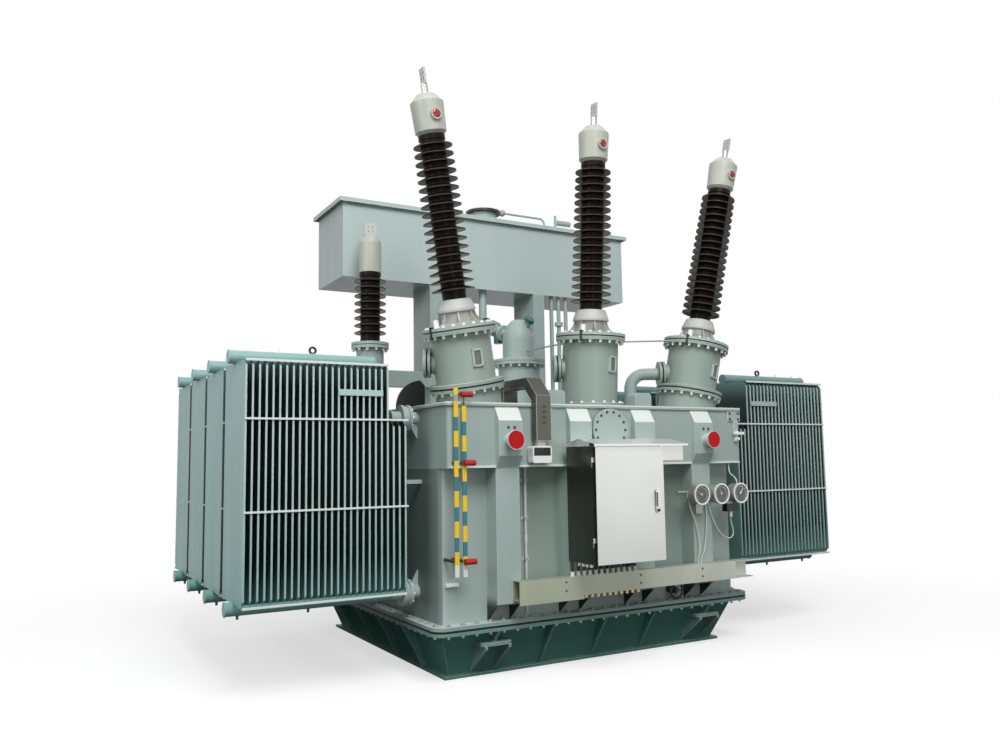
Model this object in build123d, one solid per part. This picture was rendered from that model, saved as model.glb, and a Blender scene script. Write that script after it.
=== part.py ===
"""Oil-filled power transformer with a bell tank, two radiator banks and three high-voltage bushings.

Millimetres, +X along the front from left to right, +Y to the back, +Z up.
The origin lies on the underside of the base plate, at its middle.
"""
import os
from math import cos, radians, sin, tan

from build123d import *

# Tank, belt and cover
tank_half_x, tank_half_y, tank_corner = 1402.0, 1320.0, 55.0
wall_height, belt_height, belt_reach, belt_corner = 1100.0, 446.0, 150.0, 45.0
ledge_thick, ledge_lip = 14.0, 12.0
cover_thick, cover_lip_x, cover_lip_y = 24.0, 24.0, 16.0

# Base plate, tray and bolted flange
base_thick, base_lip = 20.0, 45.0
tray_height, tray_inset_x, tray_inset_y, tray_slope_x, tray_slope_y = 328.0, 17.0, 20.0, 120.0, 150.0
flange_thick, flange_corner, flange_reach_x, flange_reach_y = 30.0, 90.0, 86.0, 102.0
gasket_thick, gasket_inset = 4.0, 6.0
rib_thick, rib_toe = 16.0, 14.0
front_rib_places, end_rib_places = (-500.0, -20.0, 460.0), (-760.0, -250.0, 250.0, 760.0)
pad_left_inset, pad_right_inset, pad_width, pad_reach = 417.0, 367.0, 250.0, 150.0
pad_thick, pad_rise = 22.0, 226.0
pad_corner, pad_gusset_thick, pad_gusset_inset, pad_gusset_drop = 40.0, 18.0, 30.0, 214.0

# Stiffeners, lifting discs and manhole
stiffener_count, stiffener_inset, stiffener_width, stiffener_proud = 4, 472.0, 196.0, 62.0
stiffener_top_fall, stiffener_foot_rise = 108.0, 84.0
channel_step, channel_heel_rise, channel_wall = 6.0, 130.0, 12.0
trunnion_shifts, trunnion_rise = (-5.0, 30.0), 196.0
trunnion_stub_radius, trunnion_stub_length = 52.0, 70.0
trunnion_disc_radius, trunnion_disc_thick = 71.0, 16.0
manhole_x, manhole_rise, manhole_radius, manhole_neck_radius = -20.0, 274.0, 165.0, 135.0
manhole_neck_length, manhole_plate_thick = 26.0, 22.0

# High-voltage turrets
hv_names, hv_setback, hv_pivot_rise = ("left", "middle", "right"), 336.0, 148.0
hv_left_inset, hv_middle_x, hv_right_inset = 341.0, 52.0, 301.0
hv_side_tilt, hv_front_tilt = 10.5, 4.0
turret_radius, turret_neck_radius, turret_height = 228.0, 246.0, 424.0
turret_flange_radius, turret_flange_thick, seal_thick, seal_inset = 284.0, 26.0, 7.0, 9.0
outlet_radius, outlet_flange_radius, outlet_flange_thick = 82.0, 112.0, 24.0
outlet_reach, outlet_rise, outlet_turn = 74.0, 176.0, 28.0
elbow_radius, elbow_run, elbow_bend = 52.0, 250.0, 130.0

# High-voltage bushings
skirt_base_radius, skirt_waist_radius, skirt_ring_radius, skirt_top_radius = 205.0, 128.0, 147.0, 120.0
skirt_height, skirt_plinth, skirt_flare, skirt_ring_rise, skirt_ring_thick = 231.0, 14.0, 12.0, 140.0, 18.0
skirt_ribs, skirt_rib_thick, skirt_rib_inset = 8, 14.0, 8.0
core_radius, shed_low_radius, shed_high_radius, shed_edge, shed_rise = 92.0, 165.0, 147.0, 9.0, 27.0
shed_pitch, shed_count, collar_height, top_collar = 63.5, 18, 71.0, 45.0
crown_radius, crown_height = 101.0, 35.0
cap_foot_radius, cap_radius, cap_height, cap_side, cap_top_radius = 118.0, 126.0, 301.0, 244.0, 74.0
cap_foot_chamfer, cap_shoulder = 24.0, 10.0
sight_radius, sight_proud, sight_rise = 44.0, 12.0, 133.0
stem_radius, stem_height = 26.0, 84.0
palm_width, palm_height, palm_thick, palm_hole_radius, palm_hole_pitch = 76.0, 118.0, 16.0, 7.0, 40.0

# Neutral bushing
neutral_inset, neutral_y, neutral_neck_height = 138.0, 350.0, 652.0
neutral_neck_radius, neutral_flange_radius, neutral_flange_thick = 122.0, 168.0, 24.0
neutral_core_radius, neutral_shed_radius, neutral_shed_pitch, neutral_shed_count = 88.0, 142.0, 68.0, 8
neutral_collar, neutral_cap_radius, neutral_cap_height, neutral_stem_height = 88.0, 100.0, 336.0, 12.0
neutral_cap_shoulder, neutral_palm_width = 60.0, 120.0

# Tap-changer head, its pipe to the conservator and the relay on it
dome_x, dome_y, dome_radius, dome_side, dome_crown_radius, dome_height = 68.0, 0.0, 152.0, 210.0, 56.0, 405.0
dome_neck_radius, dome_neck_height, dome_flange_radius, dome_flange_thick = 196.0, 488.0, 248.0, 23.0
run_radius, run_flange_radius, run_flange_thick, run_slope, run_rise = 40.0, 76.0, 20.0, 20.0, 228.0
run_stub, run_mid, run_relay, run_end, run_bend = 300.0, 500.0, 690.0, 748.0, 60.0
relay_width, relay_depth, relay_flange = 130.0, 118.0, 16.0
valve_radius, valve_height, valve_at = 48.0, 130.0, 408.0
boss_radius, boss_length, relief_radius, relief_length = 30.0, 205.0, 48.0, 36.0

# Conservator
box_half_x, box_half_y, box_height, box_x, box_y = 1625.0, 368.0, 731.0, 165.0, 965.0
lid_overhang, lid_thick, lid_rim, lid_sheet = 44.0, 12.0, 40.0, 8.0
leg_places, leg_width, leg_depth, leg_foot, leg_height = (-508.0, 682.0), 132.0, 400.0, 240.0, 1307.0
drop_pipe_places, drop_pipe_radius, drop_pipe_inset = (877.0, 968.0, 1058.0), 21.0, 60.0
drop_valve_radius, drop_valve_height, drop_valve_drop = 44.0, 40.0, 310.0
beam_height, beam_depth, beam_length, beam_rise = 150.0, 160.0, 436.0, 293.0
hatch_x, hatch_y, hatch_neck_radius, hatch_neck = 140.0, 800.0, 140.0, 100.0
hatch_radius, hatch_thick = 182.0, 24.0
breather_radius, breather_ball = 11.0, 36.0
breather_ball_x, breather_end_x, breather_bend = 372.0, 900.0, 60.0
vent_x, vent_y, vent_height, vent_radius = 1045.0, 800.0, 205.0, 15.0
vent_arm_rise, vent_arm_length = 130.0, 190.0

# Fittings on the cover
upstand_places, upstand_width, upstand_depth, upstand_height = (-455.0, 395.0), 165.0, 110.0, 112.0
upstand_setback, upstand_corner = 70.0, 30.0
lug_inset, lug_length, lug_y = 16.0, 245.0, -560.0
lug_height, lug_thick, lug_corner, lug_bulge = 236.0, 22.0, 40.0, 0.72
balance_radius, balance_bite = 7.0, 6.0

# Radiators
fin_count, short_fins, fin_pitch, fin_thick, fin_depth = 26, 3, 45.0, 12.0, 600.0
bank_gap, bank_setback, unit_gap, units = 215.0, 93.0, 71.0, 4
fin_bottom_z, fin_step, fin_chamfer, joint_drop = 641.0, 402.0, 46.0, 66.0
header_radius, header_bite, header_reach, header_cap_radius, header_cap_thick = 47.0, 9.0, 44.0, 51.0, 8.0
strap_low, strap_mid, strap_size, strap_bite, strap_reach = 8.0, 604.0, 13.0, 3.0, 12.0
strip_first, strip_last, strip_step, strip_height, strip_thick = 14, 21, 172.0, 42.0, 10.0
eye_fin, eye_radius, eye_hole_radius, eye_thick, eye_rise = 12, 29.0, 15.0, 12.0, 26.0
joint_flange_radius, joint_flange_thick, joint_valve_radius, joint_valve_thick = 96.0, 20.0, 84.0, 34.0
joint_gusset_rise, joint_gusset_reach, joint_gusset_thick = 160.0, 62.0, 12.0
tie_rise, tie_height, tie_width, tie_offset = 760.0, 28.0, 40.0, -63.0

# Control cabinet
cabinet_left_x, cabinet_width, cabinet_depth = -450.0, 620.0, 335.0
cabinet_bottom_z, cabinet_height, cabinet_wall = 815.0, 840.0, 12.0
roof_overhang, roof_rise, roof_thick = 30.0, 42.0, 14.0
side_box_width, side_box_height = 225.0, 109.0
rail_height, rail_rise = 44.0, 360.0
door_gap, door_thick, door_skin = 6.0, 26.0, 6.0
hinge_radius, hinge_offset, hinge_half, hinge_slack, hinge_leaf = 9.0, 14.0, 34.0, 0.5, 30.0
hinge_rises = (120.0, 690.0)
handle_width, handle_height, handle_base, handle_inset, handle_rise = 42.0, 176.0, 8.0, 64.0, 344.0
lever_width, lever_height, lever_thick, lock_radius, lock_thick = 26.0, 104.0, 14.0, 13.0, 6.0

# Cable trough and drain valve
trough_left_inset, trough_right_inset, trough_cover_short, trough_lip_length = 502.0, 10.0, 202.0, 555.0
trough_bottom_z, trough_height, trough_depth, trough_wall, trough_lip = 562.0, 142.0, 96.0, 6.0, 28.0
drain_offset, drain_z, drain_radius, drain_length = 255.0, 490.0, 30.0, 90.0
wheel_radius, wheel_rim, wheel_hub, wheel_spokes = 62.0, 9.0, 18.0, 3

# Dial gauges and their leads
gauge_count, gauge_inset, gauge_pitch, gauge_drop, gauge_radius = 3, 144.0, 216.0, 250.0, 84.0
gauge_depth, gauge_stand = 92.0, 124.0
bezel_thick, bezel_wall, gauge_bar_height = 16.0, 11.0, 60.0
gauge_foot_inset, gauge_foot_width, gauge_foot_drop = 4.0, 70.0, 128.0
gauge_tube_length, gauge_tube_radius, gauge_tube_rise = 176.0, 10.0, 20.0
terminal_width, terminal_height, terminal_depth, terminal_drop = 124.0, 62.0, 56.0, 92.0
gland_radius, gland_length = 17.0, 46.0
lead_radius, lead_end = 5.0, 40.0
conduit_offset, conduit_radius, conduit_inset = 231.0, 11.0, 14.0

# Earthing bars, cable duct and surge counter
bar_inset, bar_pitch, bar_width, bar_thick, bar_stand = 36.0, 64.0, 32.0, 10.0, 40.0
bar_bottom_z, bar_tops = 764.0, (2076.0, 1950.0)
insulator_radius, insulator_length, insulator_heights, post_radius = 21.0, 88.0, (868.0, 1549.0), 12.0
bar_stem_height = 62.0
duct_offset, duct_width, duct_thick, duct_tail = 270.0, 130.0, 72.0, 470.0
duct_bottom_z, duct_bend_rise, duct_top_rise, duct_slant, duct_foot = 1700.0, 58.0, 198.0, 136.0, 60.0
meter_width, meter_height, meter_depth, meter_corner = 165.0, 124.0, 78.0, 18.0
meter_shift, meter_drop, meter_neck = 20.0, 36.0, 70.0

# Levels and edges that follow from the sizes above
tray_mouth_z = base_thick + tray_height
gasket_z = tray_mouth_z + flange_thick
gasket_top_z = gasket_z + gasket_thick
flange_top_z = gasket_top_z + flange_thick
belt_bottom_z = flange_top_z + wall_height
cover_under_z = belt_bottom_z + belt_height
cover_top_z = cover_under_z + cover_thick
belt_half_y = tank_half_y + belt_reach
cover_half_x, cover_half_y = tank_half_x + cover_lip_x, belt_half_y + cover_lip_y
flange_half_x, flange_half_y = tank_half_x + flange_reach_x, tank_half_y + flange_reach_y
mouth_half_x, mouth_half_y = tank_half_x - tray_inset_x, tank_half_y - tray_inset_y
foot_half_x, foot_half_y = mouth_half_x - tray_slope_x, mouth_half_y - tray_slope_y
base_half_x, base_half_y = foot_half_x + base_lip, foot_half_y + base_lip
channel_front_y = belt_half_y + channel_step
stiffener_front_y = belt_half_y + stiffener_proud
stiffener_end = tank_half_x - stiffener_inset
stiffener_places = [stiffener_end * (2 * step / (stiffener_count - 1) - 1) for step in range(stiffener_count)]
pad_places = (pad_left_inset - tank_half_x, tank_half_x - pad_right_inset)
hv_places = (hv_left_inset - cover_half_x, hv_middle_x, cover_half_x - hv_right_inset)
hv_y, hv_pivot_z = hv_setback - cover_half_y, cover_top_z + hv_pivot_rise
outlet_end = turret_radius + outlet_reach
neutral_x, lug_left_x = neutral_inset - cover_half_x, lug_inset - cover_half_x
lug_right_x = lug_left_x + lug_length
neutral_flange_z = cover_top_z + neutral_neck_height
dome_flange_z = cover_top_z + dome_neck_height
box_bottom_z = cover_top_z + leg_height
box_top_z = box_bottom_z + box_height
lid_top_z = box_top_z + lid_thick
box_front_y = box_y - box_half_y
bank_inner_x = -tank_half_x - bank_gap
bank_outer_x = bank_inner_x - (fin_count - 1) * fin_pitch - fin_thick
bank_front_y = bank_setback - tank_half_y
unit_pitch = fin_depth + unit_gap
unit_middle_y = bank_front_y + fin_depth / 2
header_mid_z = cover_under_z - joint_drop
short_fin_height = header_mid_z - header_radius + header_bite - fin_bottom_z
fin_height = short_fin_height + fin_step
strap_rises = (strap_low, strap_mid, short_fin_height)
header_low_z = fin_bottom_z + header_bite - header_radius
header_high_z = fin_bottom_z + fin_height - header_bite + header_radius
gauge_first_x = tank_half_x - gauge_inset - (gauge_count - 1) * gauge_pitch
gauge_places = [gauge_first_x + step * gauge_pitch for step in range(gauge_count)]
gauge_front_y, gauge_z = -channel_front_y - gauge_stand, belt_bottom_z - gauge_drop
bar_places = (bar_inset - tank_half_x, bar_inset + bar_pitch - tank_half_x)
bar_y = -belt_half_y - bar_stand
trough_left_x, trough_right_x = trough_left_inset - tank_half_x, tank_half_x - trough_right_inset
trough_cover_right_x = trough_right_x - trough_cover_short
trough_lip_right_x = trough_left_x + trough_lip_length
trough_top_z = trough_bottom_z + trough_height
duct_x, conduit_x = duct_offset - stiffener_end, conduit_offset - stiffener_end
drain_x, gauge_foot_x = stiffener_end - drain_offset, stiffener_end - stiffener_width / 2 + gauge_foot_inset
BOTTOM = (Align.CENTER, Align.CENTER, Align.MIN)


def block(x0, x1, y0, y1, z0, z1):
    """Box between two corners."""
    middle = Pos((x0 + x1) / 2, (y0 + y1) / 2, (z0 + z1) / 2)
    return middle * Box(abs(x1 - x0), abs(y1 - y0), abs(z1 - z0))


def slab(half_x, half_y, corner, z0, z1):
    """Upright prism with rounded corners, centred on the Z axis."""
    outline = RectangleRounded(2 * half_x, 2 * half_y, corner)
    return extrude(Pos(0, 0, z0) * outline, z1 - z0)


def rod(start, end, radius):
    """Round bar between two points."""
    run = Vector(*end) - Vector(*start)
    return Plane(origin=start, z_dir=run) * Cylinder(radius, run.length, align=BOTTOM)


def disc(centre, thick, radius):
    """Upright round plate standing on a point."""
    return Pos(*centre) * Cylinder(radius, thick, align=BOTTOM)


def bent_pipe(points, bend, radius):
    """Round bar along straight runs with tangent bends."""
    path = FilletPolyline(*points, radius=bend)
    return sweep(Plane(origin=path @ 0, z_dir=path % 0) * Circle(radius), path=path)


def side_plate(outline, x0, x1):
    """Plate with a (y, z) outline, from x0 to x1."""
    face = make_face(Polyline(*[(x0, y, z) for y, z in outline], close=True))
    return extrude(face, x1 - x0, dir=(1, 0, 0))


def front_plate(outline, y0, y1):
    """Plate with an (x, z) outline, from y0 to y1."""
    face = make_face(Polyline(*[(x, y0, z) for x, z in outline], close=True))
    return extrude(face, y1 - y0, dir=(0, 1, 0))


def turned(outline):
    """Solid turned about the Z axis from an (r, z) outline."""
    return revolve(make_face(Polyline(*[(r, 0, z) for r, z in outline], close=True)), Axis.Z)


def make_base_plate():
    return block(-base_half_x, base_half_x, -base_half_y, base_half_y, 0, base_thick)


def make_tray():
    foot = Pos(0, 0, base_thick) * Rectangle(2 * foot_half_x, 2 * foot_half_y)
    mouth = Pos(0, 0, tray_mouth_z) * Rectangle(2 * mouth_half_x, 2 * mouth_half_y)
    return loft([foot, mouth]) + slab(flange_half_x, flange_half_y, flange_corner, tray_mouth_z, gasket_z)


def tray_rib(wall_foot, wall_mouth, base_edge, flange_edge, place):
    """Upright plate that fills the angle between a tray wall, the flange and the base plate."""
    outline = ((-wall_foot, base_thick), (-wall_mouth, tray_mouth_z), (rib_toe - flange_edge, tray_mouth_z),
               (rib_toe - base_edge, base_thick))
    return side_plate(outline, place - rib_thick / 2, place + rib_thick / 2)


def make_tray_ribs():
    front = [tray_rib(foot_half_y, mouth_half_y, base_half_y, flange_half_y, x) for x in front_rib_places]
    end = [Rot(0, 0, -90) * tray_rib(foot_half_x, mouth_half_x, base_half_x, flange_half_x, y)
           for y in end_rib_places]
    return [Rot(0, 0, turn) * one for turn in (0, 180) for one in front + end]


def wall_y(z):
    """Depth of the sloping front wall of the tray at a height."""
    return foot_half_y + (z - base_thick) / tray_height * tray_slope_y


def make_jacking_pads():
    """Rounded lifting plates on the tray wall, each with a web above and two gussets below."""
    pad_z = base_thick + pad_rise
    top_z, foot_z = pad_z + pad_thick, pad_z - pad_gusset_drop
    front = wall_y(pad_z) + pad_reach
    half_gusset = pad_gusset_thick / 2
    plate = ((-wall_y(pad_z), pad_z), (-front, pad_z), (-front, top_z), (-wall_y(top_z), top_z))
    below = ((-wall_y(foot_z), foot_z), (-wall_y(pad_z), pad_z), (-front, pad_z), (-front, pad_z - pad_thick))
    above = ((-wall_y(top_z), top_z), (-front + pad_reach / 3, top_z), (-flange_half_y, tray_mouth_z),
             (-mouth_half_y, tray_mouth_z))
    pads = []
    for place in pad_places:
        pad = side_plate(plate, place - pad_width / 2, place + pad_width / 2)
        corners = pad.edges().filter_by(Axis.Z).group_by(Axis.Y)[0]
        pad = fillet(corners, pad_corner)
        for side in (-1, 1):
            at = place + side * (pad_width / 2 - pad_gusset_inset)
            pad += side_plate(below, at - half_gusset, at + half_gusset)
        pads.append(pad + side_plate(above, place - half_gusset, place + half_gusset))
    return [Rot(0, 0, turn) * pad for turn in (0, 180) for pad in pads]


def make_gasket():
    outside = slab(flange_half_x - gasket_inset, flange_half_y - gasket_inset, flange_corner - gasket_inset,
                   gasket_z, gasket_top_z)
    return outside - slab(tank_half_x, tank_half_y, tank_corner, gasket_z, gasket_top_z)


def make_tank_walls():
    return slab(tank_half_x, tank_half_y, tank_corner, gasket_z, belt_bottom_z)


def make_tank_flange():
    plate = slab(flange_half_x, flange_half_y, flange_corner, gasket_top_z, flange_top_z)
    return plate - slab(tank_half_x, tank_half_y, tank_corner, gasket_top_z, flange_top_z)


def make_tank_belt():
    belt = slab(tank_half_x, belt_half_y, belt_corner, belt_bottom_z, cover_under_z)
    ledge_top_z = belt_bottom_z + ledge_thick
    return belt + slab(tank_half_x, belt_half_y + ledge_lip, belt_corner, belt_bottom_z, ledge_top_z)


def make_stiffeners():
    """Box stiffeners on the belt over open-footed channels on the wall."""
    ledge_top_z = belt_bottom_z + ledge_thick
    box = ((-belt_half_y, cover_under_z), (-stiffener_front_y, cover_under_z - stiffener_top_fall),
           (-stiffener_front_y, belt_bottom_z + stiffener_foot_rise),
           (-belt_half_y - ledge_lip, belt_bottom_z), (-belt_half_y - ledge_lip, ledge_top_z),
           (-belt_half_y, ledge_top_z))
    channel = ((-tank_half_y, belt_bottom_z), (-channel_front_y, belt_bottom_z),
               (-channel_front_y, flange_top_z + channel_heel_rise), (-tank_half_y, flange_top_z))
    pieces = []
    for place in stiffener_places:
        left, right = place - stiffener_width / 2, place + stiffener_width / 2
        pieces.append(side_plate(box, left, right))
        hollow = block(left + channel_wall, right - channel_wall, channel_wall - channel_front_y, -tank_half_y,
                       flange_top_z, flange_top_z + 2 * channel_heel_rise)
        pieces.append(side_plate(channel, left, right) - hollow)
    return pieces


def make_cover():
    return slab(cover_half_x, cover_half_y, belt_corner, cover_under_z, cover_top_z)


def make_trunnions():
    """Lifting stubs with round end plates, on the outer box stiffeners."""
    z, root = belt_bottom_z + trunnion_rise, -stiffener_front_y
    tip = root - trunnion_stub_length
    pieces = []
    for place, shift in zip((stiffener_places[0], stiffener_places[-1]), trunnion_shifts):
        x = place + shift
        pieces.append(rod((x, root, z), (x, tip, z), trunnion_stub_radius)
                      + rod((x, tip, z), (x, tip - trunnion_disc_thick, z), trunnion_disc_radius))
    return pieces


def make_manhole():
    z, neck_y = belt_bottom_z + manhole_rise, -belt_half_y - manhole_neck_length
    neck = rod((manhole_x, -belt_half_y, z), (manhole_x, neck_y, z), manhole_neck_radius)
    return neck + rod((manhole_x, neck_y, z), (manhole_x, neck_y - manhole_plate_thick, z), manhole_radius)


def hv_place(index):
    """Frame of a bushing: its axis leans forward, and outwards on the two outer phases."""
    return Pos(hv_places[index], hv_y, hv_pivot_z) * Rot(hv_front_tilt, (index - 1) * hv_side_tilt, 0)


def outlet_point(index, reach):
    """Point on a turret outlet's level axis, a distance out from the turret's own axis."""
    root = (hv_place(index) * Pos(0, 0, outlet_rise)).position
    turn = radians(outlet_turn)
    return tuple(root + Vector(-cos(turn), sin(turn), 0) * reach)


def make_turret(index):
    """Leaning pipe with a low bolted joint, or one plain pipe in the middle; a level outlet at the left."""
    leaning = index != 1
    root = 2 * hv_pivot_rise
    shell = disc((0, 0, -root), root + turret_height, turret_radius)
    shell += disc((0, 0, turret_height - turret_flange_thick), turret_flange_thick, turret_flange_radius)
    if leaning:
        shell += disc((0, 0, -root), root, turret_neck_radius)
        shell += disc((0, 0, -turret_flange_thick), turret_flange_thick, turret_flange_radius)
        shell += disc((0, 0, 0), seal_thick, turret_flange_radius - seal_inset)
        shell += disc((0, 0, seal_thick), turret_flange_thick, turret_flange_radius)
    standing = hv_place(index) * shell
    standing += rod(outlet_point(index, 0), outlet_point(index, outlet_end), outlet_radius)
    for far in (outlet_end, outlet_end - outlet_flange_thick - seal_thick):
        near = far - outlet_flange_thick
        standing += rod(outlet_point(index, near), outlet_point(index, far), outlet_flange_radius)
    if not leaning:
        standing += disc((hv_places[index], hv_y, cover_top_z), turret_flange_thick, turret_flange_radius)
    reach = 2 * cover_half_x
    return standing & block(-reach, reach, -reach, reach, cover_top_z, cover_top_z + reach)


def make_skirt(index):
    """Cast bushing foot: seal, flange plate, flared waist with ribs, and a bevelled shoulder."""
    z0 = turret_height
    plate_z = z0 + seal_thick + turret_flange_thick
    foot_z, ring_z, top_z = plate_z + skirt_plinth, z0 + skirt_ring_rise, z0 + skirt_height
    edge = turret_flange_radius
    seal_z = z0 + seal_thick
    body = turned(((0, z0), (edge - seal_inset, z0), (edge - seal_inset, seal_z), (edge, seal_z),
                   (edge, plate_z), (skirt_base_radius, plate_z), (skirt_base_radius, foot_z),
                   (skirt_waist_radius, foot_z + skirt_flare), (skirt_waist_radius, ring_z),
                   (skirt_ring_radius, ring_z), (skirt_ring_radius, ring_z + skirt_ring_thick),
                   (skirt_top_radius, top_z), (0, top_z)))
    low = (0, skirt_rib_inset - skirt_base_radius, foot_z)
    high = (0, -skirt_waist_radius - skirt_rib_inset, ring_z)
    hollow = (0, -(skirt_base_radius + 2 * skirt_waist_radius) / 3, (foot_z + ring_z) / 2)
    outer = ThreePointArc(low, hollow, high)
    inner = Polyline(high, (0, 0, ring_z), (0, 0, foot_z), low)
    fin = extrude(make_face(outer.edges() + inner.edges()), skirt_rib_thick / 2, dir=(1, 0, 0), both=True)
    for step in range(skirt_ribs):
        body += Rot(0, 0, (step + 0.5) * 360 / skirt_ribs) * fin
    return hv_place(index) * body


def shed_column(z0, collar, count, pitch, core, low_radius, high_radius):
    """Porcelain column: plain collar, sheds that shrink upwards, plain top and a crown ring."""
    outline = [(0, z0), (core, z0)]
    for step in range(count):
        z = z0 + collar + step * pitch
        radius = low_radius + (high_radius - low_radius) * step / (count - 1)
        outline += [(core, z), (radius, z - shed_edge / 2), (radius, z + shed_edge / 2), (core, z + shed_rise)]
    crown_z = z0 + collar + (count - 1) * pitch + top_collar
    top_z = crown_z + crown_height
    ring = core + crown_radius - core_radius
    return turned(outline + [(core, crown_z), (ring, crown_z), (ring, top_z), (0, top_z)]), top_z


def hv_column():
    return shed_column(turret_height + skirt_height, collar_height, shed_count, shed_pitch, core_radius,
                       shed_low_radius, shed_high_radius)


def palm_plate(z0, width):
    """Flat terminal plate with four bolt holes, standing along X."""
    middle = z0 + palm_height / 2
    plate = block(-width / 2, width / 2, -palm_thick / 2, palm_thick / 2, z0, z0 + palm_height)
    for x in (-palm_hole_pitch / 2, palm_hole_pitch / 2):
        for z in (middle - palm_hole_pitch / 2, middle + palm_hole_pitch / 2):
            plate -= rod((x, -palm_thick, z), (x, palm_thick, z), palm_hole_radius)
    return plate


def make_cap(index, z0):
    """Oil cap: a pot that widens upwards to a shoulder, with a round sight glass, a stem and the terminal."""
    side_z, top_z = z0 + cap_side, z0 + cap_height
    body = turned(((0, z0), (cap_foot_radius - cap_foot_chamfer, z0), (cap_foot_radius, z0 + cap_foot_chamfer),
                   (cap_radius, side_z - 2 * cap_shoulder), (cap_radius, side_z),
                   (cap_radius - cap_shoulder, side_z + cap_shoulder), (cap_top_radius, top_z), (0, top_z)))
    sight_z = z0 + sight_rise
    body += rod((0, 0, sight_z), (0, -cap_radius - sight_proud, sight_z), sight_radius)
    body += disc((0, 0, top_z), stem_height, stem_radius)
    return hv_place(index) * (body + Rot(0, 0, 90) * palm_plate(top_z + stem_height, palm_width))


def make_neutral_neck():
    place = (neutral_x, neutral_y, cover_top_z)
    neck = disc(place, neutral_neck_height, neutral_neck_radius)
    lower_z = neutral_flange_z - 2 * neutral_flange_thick - seal_thick
    for z in (lower_z, neutral_flange_z - neutral_flange_thick):
        neck += disc((neutral_x, neutral_y, z), neutral_flange_thick, neutral_flange_radius)
    return neck


def neutral_column():
    return shed_column(neutral_flange_z, neutral_collar, neutral_shed_count, neutral_shed_pitch,
                       neutral_core_radius, neutral_shed_radius, neutral_shed_radius)


def make_neutral_cap(z0):
    top_z = z0 + neutral_cap_height
    body = turned(((0, z0), (neutral_cap_radius, z0), (neutral_cap_radius, top_z - neutral_cap_shoulder),
                   (cap_top_radius, top_z), (0, top_z)))
    body += disc((0, 0, top_z), neutral_stem_height, stem_radius)
    return Pos(neutral_x, neutral_y, 0) * (body + palm_plate(top_z + neutral_stem_height, neutral_palm_width))


def along_run(length):
    """Point on the rising pipe from the tap-changer head to the conservator."""
    start = Pos(dome_x, dome_y, dome_flange_z + run_rise) * Rot(run_slope, 0, 0)
    return (start * Pos(0, length, 0)).position


def run_piece(start, end, radius):
    """Round piece on the rising pipe, between two lengths along it."""
    return rod(tuple(along_run(start)), tuple(along_run(end)), radius)


def relief_seat():
    """Frame on the dome's front shoulder, where the pressure relief ring is screwed on."""
    return Pos(dome_x, dome_y, dome_flange_z + run_rise) * Rot(40, 10, 0)


def make_tap_changer():
    """Flanged neck with a domed head, a pipe stub at the back and a boss at the front."""
    head = disc((0, 0, cover_top_z), dome_neck_height, dome_neck_radius)
    for step in (-1, 0):
        z = dome_flange_z + step * dome_flange_thick + (step + 1) * seal_thick
        head += disc((0, 0, z), dome_flange_thick, dome_flange_radius)
    z0 = dome_flange_z + seal_thick
    head += disc((0, 0, dome_flange_z), seal_thick, dome_flange_radius - seal_inset)
    side, top = (dome_radius, 0, z0 + dome_side), (dome_crown_radius, 0, z0 + dome_height)
    shoulder = TangentArc(side, top, tangent=(0, 0, 1))
    rest = Polyline(top, (0, 0, z0 + dome_height), (0, 0, z0), (dome_radius, 0, z0), side)
    head += revolve(make_face(shoulder.edges() + rest.edges()), Axis.Z)
    head = Pos(dome_x, dome_y, 0) * head
    head += run_piece(0, run_stub, run_radius)
    head += run_piece(run_stub - run_flange_thick, run_stub, run_flange_radius)
    return head + relief_seat() * disc((0, 0, 0), boss_length, boss_radius)


def make_valves():
    """Relay on the rising pipe, valve under it, relief ring on the dome and the tank's drain valve."""
    middle = (run_mid + run_relay) / 2
    relay = run_piece(run_mid, run_mid + relay_flange, run_flange_radius)
    relay += run_piece(run_relay - relay_flange, run_relay, run_flange_radius)
    core = Box(relay_width, run_relay - run_mid - 2 * relay_flange, relay_depth)
    relay += Pos(*along_run(middle)) * Rot(run_slope, 0, 0) * core
    hang = along_run(valve_at)
    low_z = hang.Z - valve_height
    valve = disc((hang.X, hang.Y, low_z), valve_height, valve_radius)
    valve -= run_piece(run_stub, run_mid, run_radius)
    relief = relief_seat() * disc((0, 0, boss_length), relief_length, relief_radius)
    wheel_y = -tank_half_y - drain_length
    drain = rod((drain_x, -tank_half_y, drain_z), (drain_x, wheel_y, drain_z), drain_radius)
    hub = rod((drain_x, wheel_y, drain_z), (drain_x, wheel_y - 2 * wheel_rim, drain_z), wheel_hub)
    rim = Pos(drain_x, wheel_y - wheel_rim, drain_z) * Rot(90, 0, 0) * Torus(wheel_radius, wheel_rim)
    for step in range(wheel_spokes):
        spoke = Rot(0, step * 360 / wheel_spokes, 0) * rod((0, 0, 0), (wheel_radius, 0, 0), wheel_rim / 2)
        hub += Pos(drain_x, wheel_y - wheel_rim, drain_z) * spoke
    return [relay, valve.solids().sort_by(Axis.Z)[0], relief, drain + hub + rim]


def make_conservator_box():
    box = block(-box_half_x, box_half_x, -box_half_y, box_half_y, box_bottom_z, box_top_z)
    return Pos(box_x, box_y, 0) * box


def make_conservator_lid():
    half_x, half_y = box_half_x + lid_overhang, box_half_y + lid_overhang
    rim_z = lid_top_z - lid_rim
    lid = block(-half_x, half_x, -half_y, half_y, rim_z, lid_top_z)
    under_x, under_y = half_x - lid_sheet, half_y - lid_sheet
    lid -= block(-under_x, under_x, -under_y, under_y, rim_z, box_top_z)
    return Pos(box_x, box_y, 0) * lid


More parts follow.
